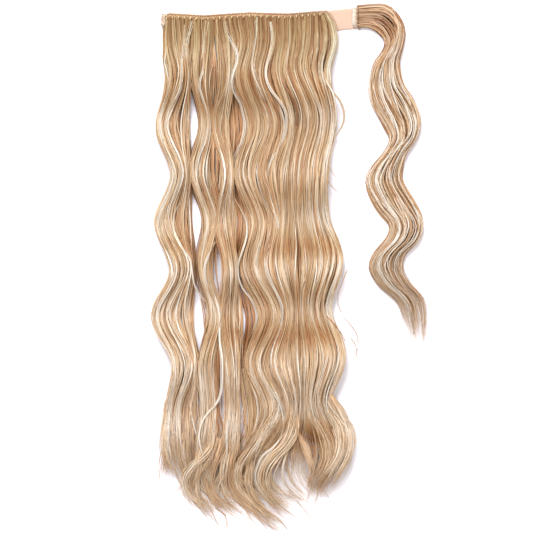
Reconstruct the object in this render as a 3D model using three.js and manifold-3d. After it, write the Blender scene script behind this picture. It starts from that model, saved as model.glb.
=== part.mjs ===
// A ponytail hairpiece laid out flat: two sewn wefts of waved hair on a soft fastening band,
// and a shorter curled weft at the band's free end, which wraps round the wearer's own ponytail.
// Millimetres. +X runs along the wefts to the free end, +Y from the hair's tips to the wefts, +Z up.
import * as THREE from "three";
import { mergeVertices } from "three/addons/utils/BufferGeometryUtils.js";
import Module from "manifold-3d";

const wasm = await Module();
wasm.setup();

// Driving dimensions
const weftWidth = 164; // length of the sewn edge that the long hair hangs from
const hairLength = 517; // longest lock, from the sewn edge to its tip
const rootBend = 30; // depth of the first slight bend under the sewn edge
const firstBend = 65; // depth of the first full bend
const halfWave = 47.5; // depth from one bend to the next
const waveSwing = 10; // unit that the sways below are shares of
const headerDepth = 4; // height of a weft's stitched edge
const headerThickness = 2.2;
const headerStep = 2.5; // how far the back weft's edge stands above the front one's
const edgeRise = 3.6; // climb of the sewn edge at its right end
const bandHeight = 21;
const bandThickness = 1.2;
const bandStep = 0.5; // how far the band's edge lies under the back weft's
const strapLength = 26; // free stretch of the band, from the wefts to the wrap
const strapRise = 2.6; // how far the free stretch climbs
const bindingWidth = 5; // folded left end of the band
const bindingHeight = 12;
const bindingOut = 2; // how far the binding stands out past the hair's left side
const bindingUp = 1; // how far it stands above the sewn edge
const bindingRound = 1.5;
const backBulk = 6; // mean thickness of the back layer of hair
const frontBulk = 6.6;
const crestSwell = 0.24; // how much thicker the hair stands at every second bend
const wrapHeaderWidth = 4.4;
const wrapHeaderOver = 1; // how far the wrap's stitched edge runs past the band's end
const wrapReach = 63; // from the wrap's stitched edge to its outermost curl
const wrapFall = 329; // from the middle of that edge to the wrap's tip
const wrapWidth = 40; // widest spread of the wrap
const wrapBulk = 8.5; // greatest thickness of the wrap
const wrapPlumpness = 0.45; // its thickness as a share of its width, where it is narrow
const clearance = 0.3; // kept between pieces that lie on or beside each other
const hairInset = 1.6; // kept between the binding and the hair's roots

// Wander of the sewn edge along the weft, as a share of edgeRise.
const edgeLine = [
  { along: 0, rise: -0.44 },
  { along: 0.04, rise: 0 },
  { along: 0.25, rise: -0.56 },
  { along: 0.53, rise: 0.28 },
  { along: 0.76, rise: -0.11 },
  { along: 1, rise: 1 },
];

// Guide strands. Root is a share of the weft's width, lead a share of a half wave, and sway holds
// the sideways swing, in shares of waveSwing, at the root bend and at each full bend after it.
// Hair is parted between two groups.
const guides = [
  { group: 1, root: 0, lead: -0.05, sway: [-0.2, 0.45, -0.6, 0.9, -0.65, 0.85, -1.2, 0.85, 0.2, 0.3, 1.6] },
  { group: 1, root: 0.091, lead: 0, sway: [0.2, 0.6, -1, 0.55, -0.7, 1.1, -0.6, 1.4, 0.2, 0.4, 1.2] },
  { group: 1, root: 0.165, lead: 0, sway: [-0.2, 0, 0, 0.05, 0, 0.3, 0.2, 0.75, 0.7, 0.6, 1] },
  { group: 2, root: 0.177, lead: 0, sway: [-0.1, -0.15, 0.7, -0.15, 1.2, 0.6, 1.5, 0.7, 0.7, 0.1, 0.2] },
  { group: 2, root: 0.238, lead: 0, sway: [0, -0.1, 0.45, -0.45, 0.95, 0.2, 1.6, 0.4, 0.7, 0.1, 0.3] },
  { group: 2, root: 0.299, lead: 0, sway: [0, -0.2, 0.1, -0.3, 0.6, -0.3, 0.9, 0.3, 0.5, 0.5, 0.6] },
  { group: 3, root: 0.317, lead: 0, sway: [0.1, 0.4, -0.15, 0.65, 0.2, 0.8, 0.5, 0.95, 1.1, 0.3, 0.4] },
  { group: 3, root: 0.36, lead: 0, sway: [0.3, 0.6, -0.6, 0.75, -0.3, 0.7, 0.15, 0.9, 1, 0.5, 0.6] },
  { group: 3, root: 0.415, lead: 0, sway: [0.4, 0, 0.1, 0.1, 0.45, 0.7, 0.6, 1, 0.9, 0.9, 1.6] },
  { group: 4, root: 0.427, lead: 0, sway: [0.5, -0.1, 1, 0, 1.4, 0.6, 2.4, 1.1, 2.4, 0.8, 1.8] },
  { group: 4, root: 0.512, lead: 0, sway: [0.2, -0.35, 1, -0.3, 1.15, 0.6, 2.6, 1, 2.7, 0, 1.8] },
  { group: 4, root: 0.567, lead: 0, sway: [0.1, -0.35, 1.2, 0, 1.4, 0.8, 2.6, 1.4, 2.8, -0.1, 2.6] },
  { group: 4, root: 0.665, lead: 0.05, sway: [0, -0.6, 0.9, -0.3, 0.7, 0.2, 1.6, 0.7, 1.9, -0.1, 1.7] },
  { group: 4, root: 0.75, lead: 0.1, sway: [0, -0.2, 1.1, 0.4, 0.2, 0.1, 0.8, 0.6, 1.2, 0.3, 1.2] },
  { group: 4, root: 0.823, lead: 0.16, sway: [0, -0.35, 1.2, 0.3, 0.25, 0.7, 0.45, 0.9, 0.7, 1, 0.6] },
  { group: 4, root: 0.902, lead: 0.18, sway: [0, -0.4, 1.2, 0.3, 0.2, 1.2, 0.2, 1.3, 0.4, 1.7, 0.3] },
  { group: 4, root: 1, lead: 0.2, sway: [0.25, 0.1, 0.8, 0.15, 0.1, 1.45, 0.3, 1.85, 0.35, 2.2, -0.6] },
];

// How late the last full bends come, by root.
const lateBends = [
  { root: 0.415, delay: 0 },
  { root: 0.567, delay: 12 },
  { root: 0.665, delay: 10 },
  { root: 0.823, delay: 0 },
];
const firstLateBend = 9;

// Locks of the front weft: the roots that each spans, and its length as a share of hairLength.
const frontLocks = [
  { group: 1, from: 0, to: 0.055, length: 0.876 },
  { group: 1, from: 0.055, to: 0.11, length: 0.896 },
  { group: 1, from: 0.11, to: 0.165, length: 0.903 },
  { group: 2, from: 0.177, to: 0.238, length: 0.946 },
  { group: 2, from: 0.238, to: 0.299, length: 0.969 },
  { group: 3, from: 0.317, to: 0.366, length: 0.957 },
  { group: 3, from: 0.366, to: 0.415, length: 0.965 },
  { group: 4, from: 0.427, to: 0.494, length: 0.988 },
  { group: 4, from: 0.494, to: 0.567, length: 1 },
  { group: 4, from: 0.567, to: 0.652, length: 0.957 },
  { group: 4, from: 0.652, to: 0.75, length: 0.957 },
  { group: 4, from: 0.75, to: 0.823, length: 0.93 },
  { group: 4, from: 0.823, to: 0.91, length: 0.92 },
  { group: 4, from: 0.91, to: 1, length: 0.935 },
];

// Locks of the back weft, which closes every parting but the first.
const backLocks = [
  { group: 1, from: 0.006, to: 0.08, length: 0.86 },
  { group: 1, from: 0.08, to: 0.163, length: 0.88 },
  { group: 2, from: 0.179, to: 0.26, length: 0.9 },
  { group: 2, from: 0.26, to: 0.34, length: 0.9 },
  { group: 2, from: 0.34, to: 0.427, length: 0.89 },
  { group: 2, from: 0.427, to: 0.567, length: 0.9 },
  { group: 2, from: 0.567, to: 0.7, length: 0.89 },
  { group: 2, from: 0.7, to: 0.85, length: 0.9 },
  { group: 2, from: 0.85, to: 0.992, length: 0.88 },
];

// Course of the wrap from its stitched edge to its tip: reach is a share of wrapReach, fall of
// wrapFall and width of wrapWidth.
const wrapCourse = [
  { reach: 0, fall: 0, width: 0.52 },
  { reach: 0.184, fall: -0.006, width: 0.57 },
  { reach: 0.36, fall: -0.002, width: 0.6 },
  { reach: 0.517, fall: 0.013, width: 0.62 },
  { reach: 0.612, fall: 0.039, width: 0.58 },
  { reach: 0.636, fall: 0.066, width: 0.5 },
  { reach: 0.6, fall: 0.096, width: 0.52 },
  { reach: 0.475, fall: 0.174, width: 0.78 },
  { reach: 0.635, fall: 0.272, width: 1.04 },
  { reach: 0.765, fall: 0.355, width: 0.7 },
  { reach: 0.645, fall: 0.407, width: 0.6 },
  { reach: 0.47, fall: 0.486, width: 0.92 },
  { reach: 0.635, fall: 0.572, width: 0.98 },
  { reach: 0.82, fall: 0.644, width: 0.76 },
  { reach: 0.59, fall: 0.712, width: 0.78 },
  { reach: 0.478, fall: 0.766, width: 0.84 },
  { reach: 0.66, fall: 0.821, width: 0.76 },
  { reach: 0.915, fall: 0.87, width: 0.54 },
  { reach: 0.97, fall: 0.917, width: 0.4 },
  { reach: 1, fall: 0.964, width: 0.24 },
  { reach: 0.985, fall: 1, width: 0.1 },
];
const wrapCrowns = [
  { from: 0, to: 0.3 },
  { from: 0.3, to: 0.68 },
  { from: 0.68, to: 1 },
];

// Crown over each lock, from its right side to its left: shares of its width and its height.
// The hair sinks to the valley between two crowns.
const valley = 0.45;
const crown = [
  { across: 1, up: valley },
  { across: 0.74, up: 1 },
  { across: 0.26, up: 1 },
];

// Section of a stitched edge, rounded over its outer side.
const headerSection = [
  { across: 0, up: 0 },
  { across: 1, up: 0 },
  { across: 1, up: 0.6 },
  { across: 0.8, up: 1 },
  { across: 0.2, up: 1 },
  { across: 0, up: 0.6 },
];

const weftStart = (bindingWidth - bindingOut + clearance) / weftWidth; // share that the binding covers
const stationsPerBend = 4;
const backTail = 0.8; // share of hairLength past which the back layer thins out
const backTailSpan = 0.14;
const tipSpan = 0.11; // share of hairLength over which a lock hangs free and narrows
const tipOverlap = 6; // length of each tip that lies inside the joined hair
const tipInset = 0.92; // size of a tip there, as a share of the joined hair's
const tipWidth = 0.55;
const tipHeight = 0.3;
const wrapStations = 46;

const { lerp, clamp, smoothstep } = THREE.MathUtils;

// Reads a table by one of its columns, with straight lines between its rows.
function readTable(rows, key, value, at) {
  const last = rows.length - 1;
  if (at <= rows[0][key]) return rows[0][value];
  if (at >= rows[last][key]) return rows[last][value];
  const next = rows.findIndex((row) => row[key] > at);
  const a = rows[next - 1];
  const b = rows[next];
  return lerp(a[value], b[value], (at - a[key]) / (b[key] - a[key]));
}

// Sideways swing of a guide at a depth: a smooth curve through its bends.
function guideSwing(guide, depth) {
  const delay = readTable(lateBends, "root", "delay", guide.root);
  const bendDepth = (i) => {
    if (i === 0) return rootBend;
    return firstBend + (i - 1 - guide.lead) * halfWave + (i < firstLateBend ? 0 : delay);
  };
  const bends = guide.sway.map((sway, i) => ({ depth: bendDepth(i), swing: sway * waveSwing }));
  const knots = [{ depth: 0, swing: 0 }, { depth: headerDepth * 2, swing: 0 }, ...bends];
  const last = knots.length - 1;
  if (depth <= 0) return 0;
  if (depth >= knots[last].depth) return knots[last].swing;
  const i = knots.findIndex((knot) => knot.depth > depth) - 1;
  const slope = (j) => {
    const before = knots[Math.max(j - 1, 0)];
    const after = knots[Math.min(j + 1, last)];
    return (after.swing - before.swing) / (after.depth - before.depth);
  };
  const span = knots[i + 1].depth - knots[i].depth;
  const t = (depth - knots[i].depth) / span;
  const spent = 1 - t;
  return (
    knots[i].swing * spent * spent * (1 + 2 * t) +
    knots[i + 1].swing * t * t * (3 - 2 * t) +
    slope(i) * span * t * spent * spent -
    slope(i + 1) * span * t * t * spent
  );
}

// Place across the weft of a strand with this root at a depth, blended from the guides beside it.
function strandX(root, depth, group) {
  const near = group ? guides.filter((guide) => guide.group === group) : guides;
  const next = near.findIndex((guide) => guide.root >= root);
  const b = next < 0 ? near[near.length - 1] : near[next];
  const a = next <= 0 ? b : near[next - 1];
  const share = a === b ? 0 : clamp((root - a.root) / (b.root - a.root), 0, 1);
  return root * weftWidth + lerp(guideSwing(a, depth), guideSwing(b, depth), share);
}

function edgeY(along) {
  return readTable(edgeLine, "along", "rise", along) * edgeRise;
}

// The sewn edge's wander dies out down the hair.
function strandY(root, depth) {
  return edgeY(root) * Math.max(0, 1 - depth / firstBend) - depth;
}

// Levels of the layers, from the floor up
const backHeaderLevel = bandThickness + clearance;
const frontHeaderLevel = backHeaderLevel + headerThickness + clearance;

function fullness(depth) {
  return smoothstep(depth, headerDepth + headerStep, firstBend);
}

function swell(depth) {
  return 1 + crestSwell * Math.cos((Math.PI * (depth - firstBend)) / halfWave);
}

function backBase(depth) {
  const edge = bandHeight + headerDepth;
  return backHeaderLevel * (1 - smoothstep(depth, edge, edge + headerDepth * 2));
}

// Level that the front layer rests on: over the back layer, then down to the floor past its tips.
function frontBase(depth) {
  const overBack = lerp(frontHeaderLevel, backBulk * swell(depth) + clearance, fullness(depth));
  const tail = smoothstep(depth, backTail * hairLength, (backTail + backTailSpan) * hairLength);
  return overBack * (1 - tail);
}

const layers = {
  back: {
    base: backBase,
    height: (depth) => frontBase(depth) - clearance - backBase(depth),
  },
  front: {
    base: frontBase,
    height: (depth) => lerp(headerThickness, frontBulk * swell(depth), fullness(depth)),
  },
};

// Triangles over one end of a loft. A ring's first two points lie along its base.
function endFaces(ring) {
  const base = ring[1].clone().sub(ring[0]).normalize();
  const outline = ring.map((point) => new THREE.Vector2(point.clone().sub(ring[0]).dot(base), point.z));
  return THREE.ShapeUtils.triangulateShape(outline, []);
}

// Joins rings of equal length into one closed skin.
function loft(rings) {
  const around = rings[0].length;
  const faces = [];
  for (let i = 0; i < rings.length - 1; i++) {
    for (let j = 0; j < around; j++) {
      const a = i * around + j;
      const b = i * around + ((j + 1) % around);
      faces.push(a, b, b + around, a, b + around, a + around);
    }
  }
  const end = (rings.length - 1) * around;
  for (const [a, b, c] of endFaces(rings[0])) faces.push(a, c, b);
  for (const [a, b, c] of endFaces(rings[rings.length - 1])) faces.push(end + a, end + b, end + c);
  const geometry = new THREE.BufferGeometry().setFromPoints(rings.flat());
  geometry.setIndex(faces);
  return geometry;
}

function solidFrom(geometry) {
  const bare = geometry.clone();
  bare.deleteAttribute("normal");
  bare.deleteAttribute("uv");
  const merged = mergeVertices(bare, 1e-4);
  const vertProperties = merged.attributes.position.array;
  const triVerts = new Uint32Array(merged.index.array);
  return new wasm.Manifold(new wasm.Mesh({ numProp: 3, vertProperties, triVerts }));
}

// Fuses closed geometries into one.
function fuse(geometries) {
  const whole = geometries.map(solidFrom).reduce((sum, solid) => sum.add(solid));
  const mesh = whole.getMesh();
  const geometry = new THREE.BufferGeometry();
  geometry.setAttribute("position", new THREE.BufferAttribute(mesh.vertProperties, 3));
  geometry.setIndex(new THREE.BufferAttribute(mesh.triVerts, 1));
  geometry.computeVertexNormals();
  return geometry;
}

// Root share that the hair keeps to beside the binding; below it the hair spreads to its full width.
function besideBinding(depth) {
  return (weftStart + hairInset / weftWidth) * (1 - smoothstep(depth, bindingHeight, rootBend));
}

// A ring across a row of locks: flat below, with one crown over each lock.
function crownedRing(locks, place) {
  const first = locks[0].from;
  const last = locks[locks.length - 1].to;
  const crowns = locks
    .toReversed()
    .flatMap(({ from, to }) => crown.map(({ across, up }) => place(lerp(from, to, across), up)));
  return [place(first, 0), place(last, 0), ...crowns, place(first, valley)];
}

function depthsBetween(start, end) {
  const step = halfWave / stationsPerBend;
  const depths = [start];
  for (let i = Math.ceil(start / step + 0.25); i * step < end - step / 4; i++) depths.push(i * step);
  depths.push(end);
  return depths;
}

function hairRing(layer, locks, depth, height, guideGroup) {
  const spread = locks.map(({ from, to }) => ({ from: Math.max(from, besideBinding(depth)), to }));
  return crownedRing(
    spread,
    (root, up) =>
      new THREE.Vector3(
        strandX(root, depth, guideGroup),
        strandY(root, depth),
        layer.base(depth) + up * height,
      ),
  );
}

// Locks that hang side by side are one body down to where the shortest one's tip comes free.
function joinedLocks(layer, locks, start, guideGroup) {
  const bodyEnd = (Math.min(...locks.map((row) => row.length)) - tipSpan) * hairLength;
  const body = depthsBetween(start, bodyEnd).map((depth) =>
    hairRing(layer, locks, depth, layer.height(depth), guideGroup),
  );
  const tips = locks.map((row) => lockTip(layer, row, bodyEnd - tipOverlap, guideGroup));
  return [loft(body), ...tips];
}

function lockTip(layer, { from, to, length }, start, guideGroup) {
  const end = length * hairLength;
  const rings = depthsBetween(start, end).map((depth) => {
    const share = (depth - start) / (end - start);
    const spread = lerp(tipInset, tipWidth, share * share);
    const inset = ((to - from) * (1 - spread)) / 2;
    const height = layer.height(depth) * lerp(tipInset, tipHeight, share * share);
    return hairRing(layer, [{ from: from + inset, to: to - inset }], depth, height, guideGroup);
  });
  return loft(rings);
}

// Stitched edge of a weft, from one end to the other, its top a given step under the sewn edge.
function header(level, step, from) {
  const stations = [from, ...edgeLine.map((row) => row.along).filter((along) => along > from)];
  const rings = stations.map((along) =>
    headerSection.map(
      ({ across, up }) =>
        new THREE.Vector3(
          along * weftWidth,
          edgeY(along) - step - (1 - across) * headerDepth,
          level + up * headerThickness,
        ),
    ),
  );
  return loft(rings);
}

function weft(layer, rows, level, step, parted) {
  const start = step + headerDepth / 2;
  const groups = [...new Set(rows.map((row) => row.group))];
  const hair = groups.flatMap((group) =>
    joinedLocks(layer, rows.filter((row) => row.group === group), start, parted ? group : 0),
  );
  return fuse([header(level, step, weftStart), ...hair]);
}

// Middle of the wrap's stitched edge, over the band's free end.
const wrapStart = {
  x: weftWidth + strapLength + wrapHeaderWidth / 2,
  y: edgeY(1) - bandStep + strapRise - bandHeight / 2,
};

// The band runs behind both wefts, then climbs along its free stretch.
function band() {
  const course = edgeLine
    .filter((row) => row.along > weftStart)
    .map((row) => ({ x: row.along * weftWidth, top: edgeY(row.along) - bandStep }));
  course.unshift({ x: weftStart * weftWidth, top: edgeY(weftStart) - bandStep });
  course.push({
    x: wrapStart.x + wrapHeaderWidth / 2 - wrapHeaderOver,
    top: edgeY(1) - bandStep + strapRise,
  });
  const rings = course.map(({ x, top }) => [
    new THREE.Vector3(x, top - bandHeight, 0),
    new THREE.Vector3(x, top, 0),
    new THREE.Vector3(x, top, bandThickness),
    new THREE.Vector3(x, top - bandHeight, bandThickness),
  ]);
  return loft(rings);
}

// The band's left end is folded over the ends of both wefts and bound with thread.
function binding() {
  const right = weftStart * weftWidth - clearance;
  const left = right - bindingWidth;
  const height = frontHeaderLevel + headerThickness;
  const shape = new THREE.Shape();
  shape.moveTo(left + bindingRound, 0);
  shape.lineTo(right, 0);
  shape.lineTo(right, height);
  shape.lineTo(left + bindingRound, height);
  shape.quadraticCurveTo(left, height, left, height - bindingRound);
  shape.lineTo(left, bindingRound);
  shape.quadraticCurveTo(left, 0, left + bindingRound, 0);
  const geometry = new THREE.ExtrudeGeometry(shape, {
    depth: bindingHeight,
    bevelEnabled: false,
    curveSegments: 4,
  });
  return geometry.rotateX(Math.PI / 2).translate(0, edgeY(0) + bindingUp, 0);
}

// Level of the wrap's underside: over the band at its stitched edge, then on the floor.
function wrapBase(travel) {
  return backHeaderLevel * (1 - smoothstep(travel, wrapHeaderWidth * 1.5, wrapHeaderWidth * 4));
}

function wrapHeader() {
  const rings = [1, -1].map((side) =>
    headerSection.map(
      ({ across, up }) =>
        new THREE.Vector3(
          wrapStart.x + (across - 0.5) * wrapHeaderWidth,
          wrapStart.y + (side * bandHeight) / 2,
          backHeaderLevel + up * headerThickness,
        ),
    ),
  );
  return loft(rings);
}

function wrapHair() {
  const course = new THREE.CatmullRomCurve3(
    wrapCourse.map(
      (row) => new THREE.Vector3(wrapStart.x + row.reach * wrapReach, wrapStart.y - row.fall * wrapFall, 0),
    ),
  );
  const widths = wrapCourse.map((row, i) => ({ at: i / (wrapCourse.length - 1), width: row.width }));
  const rings = [];
  for (let i = 0; i <= wrapStations; i++) {
    const share = i / wrapStations;
    const centre = course.getPoint(share);
    const tangent = course.getTangent(share);
    const side = new THREE.Vector3(-tangent.y, tangent.x, 0);
    const width = readTable(widths, "at", "width", share) * wrapWidth;
    const travel = centre.distanceTo(course.points[0]);
    const plump = smoothstep(travel, 0, wrapReach / 2);
    const height = lerp(headerThickness, Math.min(wrapBulk, width * wrapPlumpness), plump);
    const base = wrapBase(travel);
    rings.push(
      crownedRing(wrapCrowns, (across, up) =>
        centre
          .clone()
          .addScaledVector(side, (across - 0.5) * width)
          .setZ(base + up * height),
      ),
    );
  }
  return loft(rings);
}

const hair = { color: 0xc8a06e, roughness: 0.45, metalness: 0 };
const finishes = {
  fastening_band: new THREE.MeshStandardMaterial({ color: 0xdeb89e, roughness: 0.9, metalness: 0 }),
  left_end_binding: new THREE.MeshStandardMaterial({ color: 0xead8cf, roughness: 0.9, metalness: 0 }),
  back_weft: new THREE.MeshStandardMaterial({ ...hair, color: 0xa97f52 }),
  front_weft: new THREE.MeshStandardMaterial(hair),
  wrap_weft: new THREE.MeshStandardMaterial({ ...hair, color: 0xd2ad7c }),
};

const pieces = {
  fastening_band: band(),
  left_end_binding: binding(),
  back_weft: weft(layers.back, backLocks, backHeaderLevel, 0, false),
  front_weft: weft(layers.front, frontLocks, frontHeaderLevel, headerStep, true),
  wrap_weft: fuse([wrapHeader(), wrapHair()]),
};

const group = new THREE.Group();
for (const [name, geometry] of Object.entries(pieces)) {
  const mesh = new THREE.Mesh(geometry, finishes[name]);
  mesh.name = name;
  group.add(mesh);
}

// The origin is the middle of the face that the hairpiece lies on.
const extent = new THREE.Box3().setFromObject(group);
const middle = extent.getCenter(new THREE.Vector3());
group.position.set(-middle.x, -middle.y, -extent.min.z);

export default group;
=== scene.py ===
import bpy
import numpy as np
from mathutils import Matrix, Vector


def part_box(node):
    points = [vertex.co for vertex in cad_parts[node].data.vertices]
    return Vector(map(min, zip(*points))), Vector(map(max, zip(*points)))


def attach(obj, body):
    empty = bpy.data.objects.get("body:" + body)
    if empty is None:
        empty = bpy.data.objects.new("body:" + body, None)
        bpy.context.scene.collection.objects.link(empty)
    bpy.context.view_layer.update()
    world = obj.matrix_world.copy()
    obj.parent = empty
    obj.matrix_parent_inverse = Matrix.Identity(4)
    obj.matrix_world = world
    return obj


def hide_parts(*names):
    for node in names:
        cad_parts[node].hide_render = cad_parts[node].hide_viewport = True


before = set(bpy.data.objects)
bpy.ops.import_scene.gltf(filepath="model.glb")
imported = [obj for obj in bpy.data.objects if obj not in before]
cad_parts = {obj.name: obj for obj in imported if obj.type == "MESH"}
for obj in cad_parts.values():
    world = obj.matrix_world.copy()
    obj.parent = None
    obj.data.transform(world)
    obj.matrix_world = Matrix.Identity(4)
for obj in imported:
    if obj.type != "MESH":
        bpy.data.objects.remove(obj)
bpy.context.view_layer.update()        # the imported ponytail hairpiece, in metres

mm = 0.001

# What the wefts, the band and the wrap share.
hairpiece = {
    "weftWidth": 164 * mm,  # sewn edge that the long hair hangs from
    "hairLength": 517 * mm,  # longest lock
    "rootBend": 30 * mm,
    "firstBend": 65 * mm,
    "halfWave": 47.5 * mm,
    "waveSwing": 10 * mm,
    "edgeRise": 3.6 * mm,
    "bandHeight": 21 * mm,
    "bandThickness": 1.2 * mm,
    "bandDrop": 0.5 * mm,  # how far the band's upper edge lies below the sewn edge's line
    "bindingCover": 3.3 * mm,  # stretch of the sewn edge that the left binding hides
    "bindingUp": 1 * mm,
    "headerDepth": 4 * mm,
    "headerStep": 2.5 * mm,  # how far the back weft's edge stands above the front one's
    "frontHeaderLevel": 4 * mm,
    "backBulk": 6 * mm,
    "frontBulk": 6.6 * mm,
    "crestSwell": 0.45,
    "crestLag": 14 * mm,  # how much later the right part's crests come
    "lagFrom": 0.55,  # roots between which that delay grows
    "lagTo": 0.75,
    "edgeStand": 2.2 * mm,  # how far the front weft stands above the back one at the sewn edge
    "tailFrom": 0.8,  # shares of the length between which the locks thin out to nothing
    "tailTo": 0.94,
}

# Wander of the sewn edge along the weft: (share of the width, share of edgeRise).
edgeLine = [(0, -0.44), (0.04, 0), (0.25, -0.56), (0.53, 0.28), (0.76, -0.11), (1, 1)]

# Guide strands: (group, root, lead, sway at the root bend and at each full bend after it).
guides = [
    (1, 0, -0.05, (-0.2, 0.45, -0.6, 0.9, -0.65, 0.85, -1.2, 0.85, 0.2, 0.3, 1.6, 2.2)),
    (1, 0.091, 0, (0.2, 0.6, -1, 0.55, -0.7, 1.1, -0.6, 1.4, 0.2, 0.4, 1.2, 1.8)),
    (1, 0.165, 0, (-0.2, 0, 0, 0.05, 0, 0.3, 0.2, 0.75, 0.7, 0.6, 1, 1.8)),
    (2, 0.177, 0, (-0.1, -0.15, 0.7, -0.15, 1.2, 0.6, 1.5, 0.7, 0.7, 0.1, 0.2, 1.2)),
    (2, 0.238, 0, (0, -0.1, 0.45, -0.45, 0.95, 0.2, 1.6, 0.4, 0.7, 0.1, 0.3, 1.4)),
    (2, 0.299, 0, (0, -0.2, 0.1, -0.3, 0.6, -0.3, 0.9, 0.3, 0.5, 0.5, 0.6, 1.8)),
    (3, 0.317, 0, (0.1, 0.4, -0.15, 0.65, 0.2, 0.8, 0.5, 0.95, 1.1, 0.3, 0.4, 1.8)),
    (3, 0.36, 0, (0.3, 0.6, -0.6, 0.75, -0.3, 0.7, 0.15, 0.9, 1, 0.5, 0.6, 2.4)),
    (3, 0.415, 0, (0.4, 0, 0.1, 0.1, 0.45, 0.7, 0.6, 1, 0.9, 0.9, 1.6, 4)),
    (4, 0.427, 0, (0.5, -0.1, 1, 0, 1.4, 0.6, 2.4, 1.1, 2.4, 0.8, 1.8, 4.5)),
    (4, 0.512, 0, (0.2, -0.35, 1, -0.3, 1.15, 0.6, 2.6, 1, 2.7, 0, 1.8, 4.5)),
    (4, 0.567, 0, (0.1, -0.35, 1.2, 0, 1.4, 0.8, 2.6, 1.4, 2.8, -0.1, 2.6, 5)),
    (4, 0.665, 0.05, (0, -0.6, 0.9, -0.3, 0.7, 0.2, 1.6, 0.7, 1.9, -0.1, 1.7, 4)),
    (4, 0.75, 0.1, (0, -0.2, 1.1, 0.4, 0.2, 0.1, 0.8, 0.6, 1.2, 0.3, 1.2, 2.5)),
    (4, 0.823, 0.16, (0, -0.35, 1.2, 0.3, 0.25, 0.7, 0.45, 0.9, 0.7, 1, 0.6, 0.9)),
    (4, 0.902, 0.18, (0, -0.4, 1.2, 0.3, 0.2, 1.2, 0.2, 1.3, 0.4, 1.7, 0.3, -0.2)),
    (4, 1, 0.2, (0.25, 0.1, 0.8, 0.15, 0.1, 1.45, 0.3, 1.85, 0.35, 2.2, -0.6, -1.5)),
]

# How late the last three bends come, in millimetres: (root, delay).
lateBends = [(0.415, 0), (0.567, 12), (0.665, 10), (0.823, 0)]


def smooth(value, low, high):
    t = np.clip((value - low) / (high - low), 0, 1)
    return t * t * (3 - 2 * t)


# Smooth curve through the rows of a table, at places between 0 and the last row.
def through(rows, place):
    last = len(rows) - 1
    i = np.clip(place.astype(int), 0, last - 1)
    t = (place - i)[:, None]
    a, b, c, d = (rows[np.clip(i + step, 0, last)] for step in (-1, 0, 1, 2))
    square = (2 * a - 5 * b + 4 * c - d) * t**2
    cube = (3 * b - a - 3 * c + d) * t**3
    return 0.5 * (2 * b + (c - a) * t + square + cube)


def edgeY(along):
    shares, rises = zip(*edgeLine)
    return np.interp(along, shares, rises) * hairpiece["edgeRise"]


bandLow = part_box("fastening_band")[0]
bindingLow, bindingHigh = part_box("left_end_binding")
origin = Vector((
    bandLow.x - hairpiece["bindingCover"],
    bindingHigh.y - hairpiece["bindingUp"] - float(edgeY(0)),
    0,
))


# Sideways swing of a guide strand at each depth: a smooth curve through its bends.
def guideSwing(guide, depth):
    group, root, lead, sway = guide
    number = np.arange(1, len(sway))
    delay = np.interp(root, *zip(*lateBends)) * mm * (number >= len(sway) - 3)
    bends = hairpiece["firstBend"] + (number - 1 - lead) * hairpiece["halfWave"] + delay
    knots = np.array([0, 2 * hairpiece["headerDepth"], hairpiece["rootBend"], *bends])
    swings = np.array([0, 0, *sway]) * hairpiece["waveSwing"]
    before = np.maximum(np.arange(len(knots)) - 1, 0)
    after = np.minimum(np.arange(len(knots)) + 1, len(knots) - 1)
    slopes = (swings[after] - swings[before]) / (knots[after] - knots[before])
    at = np.clip(depth, 0, knots[-1])
    i = np.clip(np.searchsorted(knots, at, side="right") - 1, 0, len(knots) - 2)
    span = knots[i + 1] - knots[i]
    t = (at - knots[i]) / span
    spent = 1 - t
    return (
        swings[i] * spent * spent * (1 + 2 * t)
        + swings[i + 1] * t * t * (3 - 2 * t)
        + slopes[i] * span * t * spent * spent
        - slopes[i + 1] * span * t * t * spent
    )


# Place across the weft of a strand at each depth, blended from the guides beside its root.
def strandX(root, depth, group):
    near = [guide for guide in guides if group in (0, guide[0])]
    root = np.broadcast_to(root, np.shape(depth))
    swings = np.array([guideSwing(guide, depth) for guide in near])
    roots = np.array([guide[1] for guide in near])
    b = np.clip(np.searchsorted(roots, root), 1, len(near) - 1)
    share = np.clip((root - roots[b - 1]) / (roots[b] - roots[b - 1]), 0, 1)
    spot = np.arange(len(depth))
    swing = swings[b - 1, spot] * (1 - share) + swings[b, spot] * share
    return root * hairpiece["weftWidth"] + swing


# The back hair waves as the hair around it does on the whole, so it closes the narrow partings.
def backX(root, depth, group):
    if group:
        return strandX(root, depth, group)
    near = [np.clip(root + step, 0.18, 1) for step in (-0.08, -0.04, 0, 0.04, 0.08)]
    swings = [strandX(place, depth, 0) - place * hairpiece["weftWidth"] for place in near]
    swing = np.mean(swings, axis=0)
    return root * hairpiece["weftWidth"] + swing


# Root share that the hair keeps to beside the left binding.
def besideBinding(depth):
    start = (hairpiece["bindingCover"] + 1.6 * mm) / hairpiece["weftWidth"]
    return start * (1 - smooth(depth, 30 * mm, 60 * mm))


def strandY(root, depth):
    return edgeY(root) * np.maximum(0, 1 - depth / hairpiece["firstBend"]) - depth


def fullness(depth):
    return smooth(depth, hairpiece["headerDepth"] + hairpiece["headerStep"], hairpiece["firstBend"])


def swell(depth):
    phase = np.pi * (depth - hairpiece["firstBend"]) / hairpiece["halfWave"]
    return 1 + hairpiece["crestSwell"] * np.cos(phase)


def backTop(depth):
    bulk = hairpiece["backBulk"] * swell(depth)
    level = hairpiece["frontHeaderLevel"] * (1 - fullness(depth)) + bulk * fullness(depth)
    share = depth / hairpiece["hairLength"]
    return level * (1 - smooth(share, hairpiece["tailFrom"], hairpiece["tailTo"]))


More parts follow.
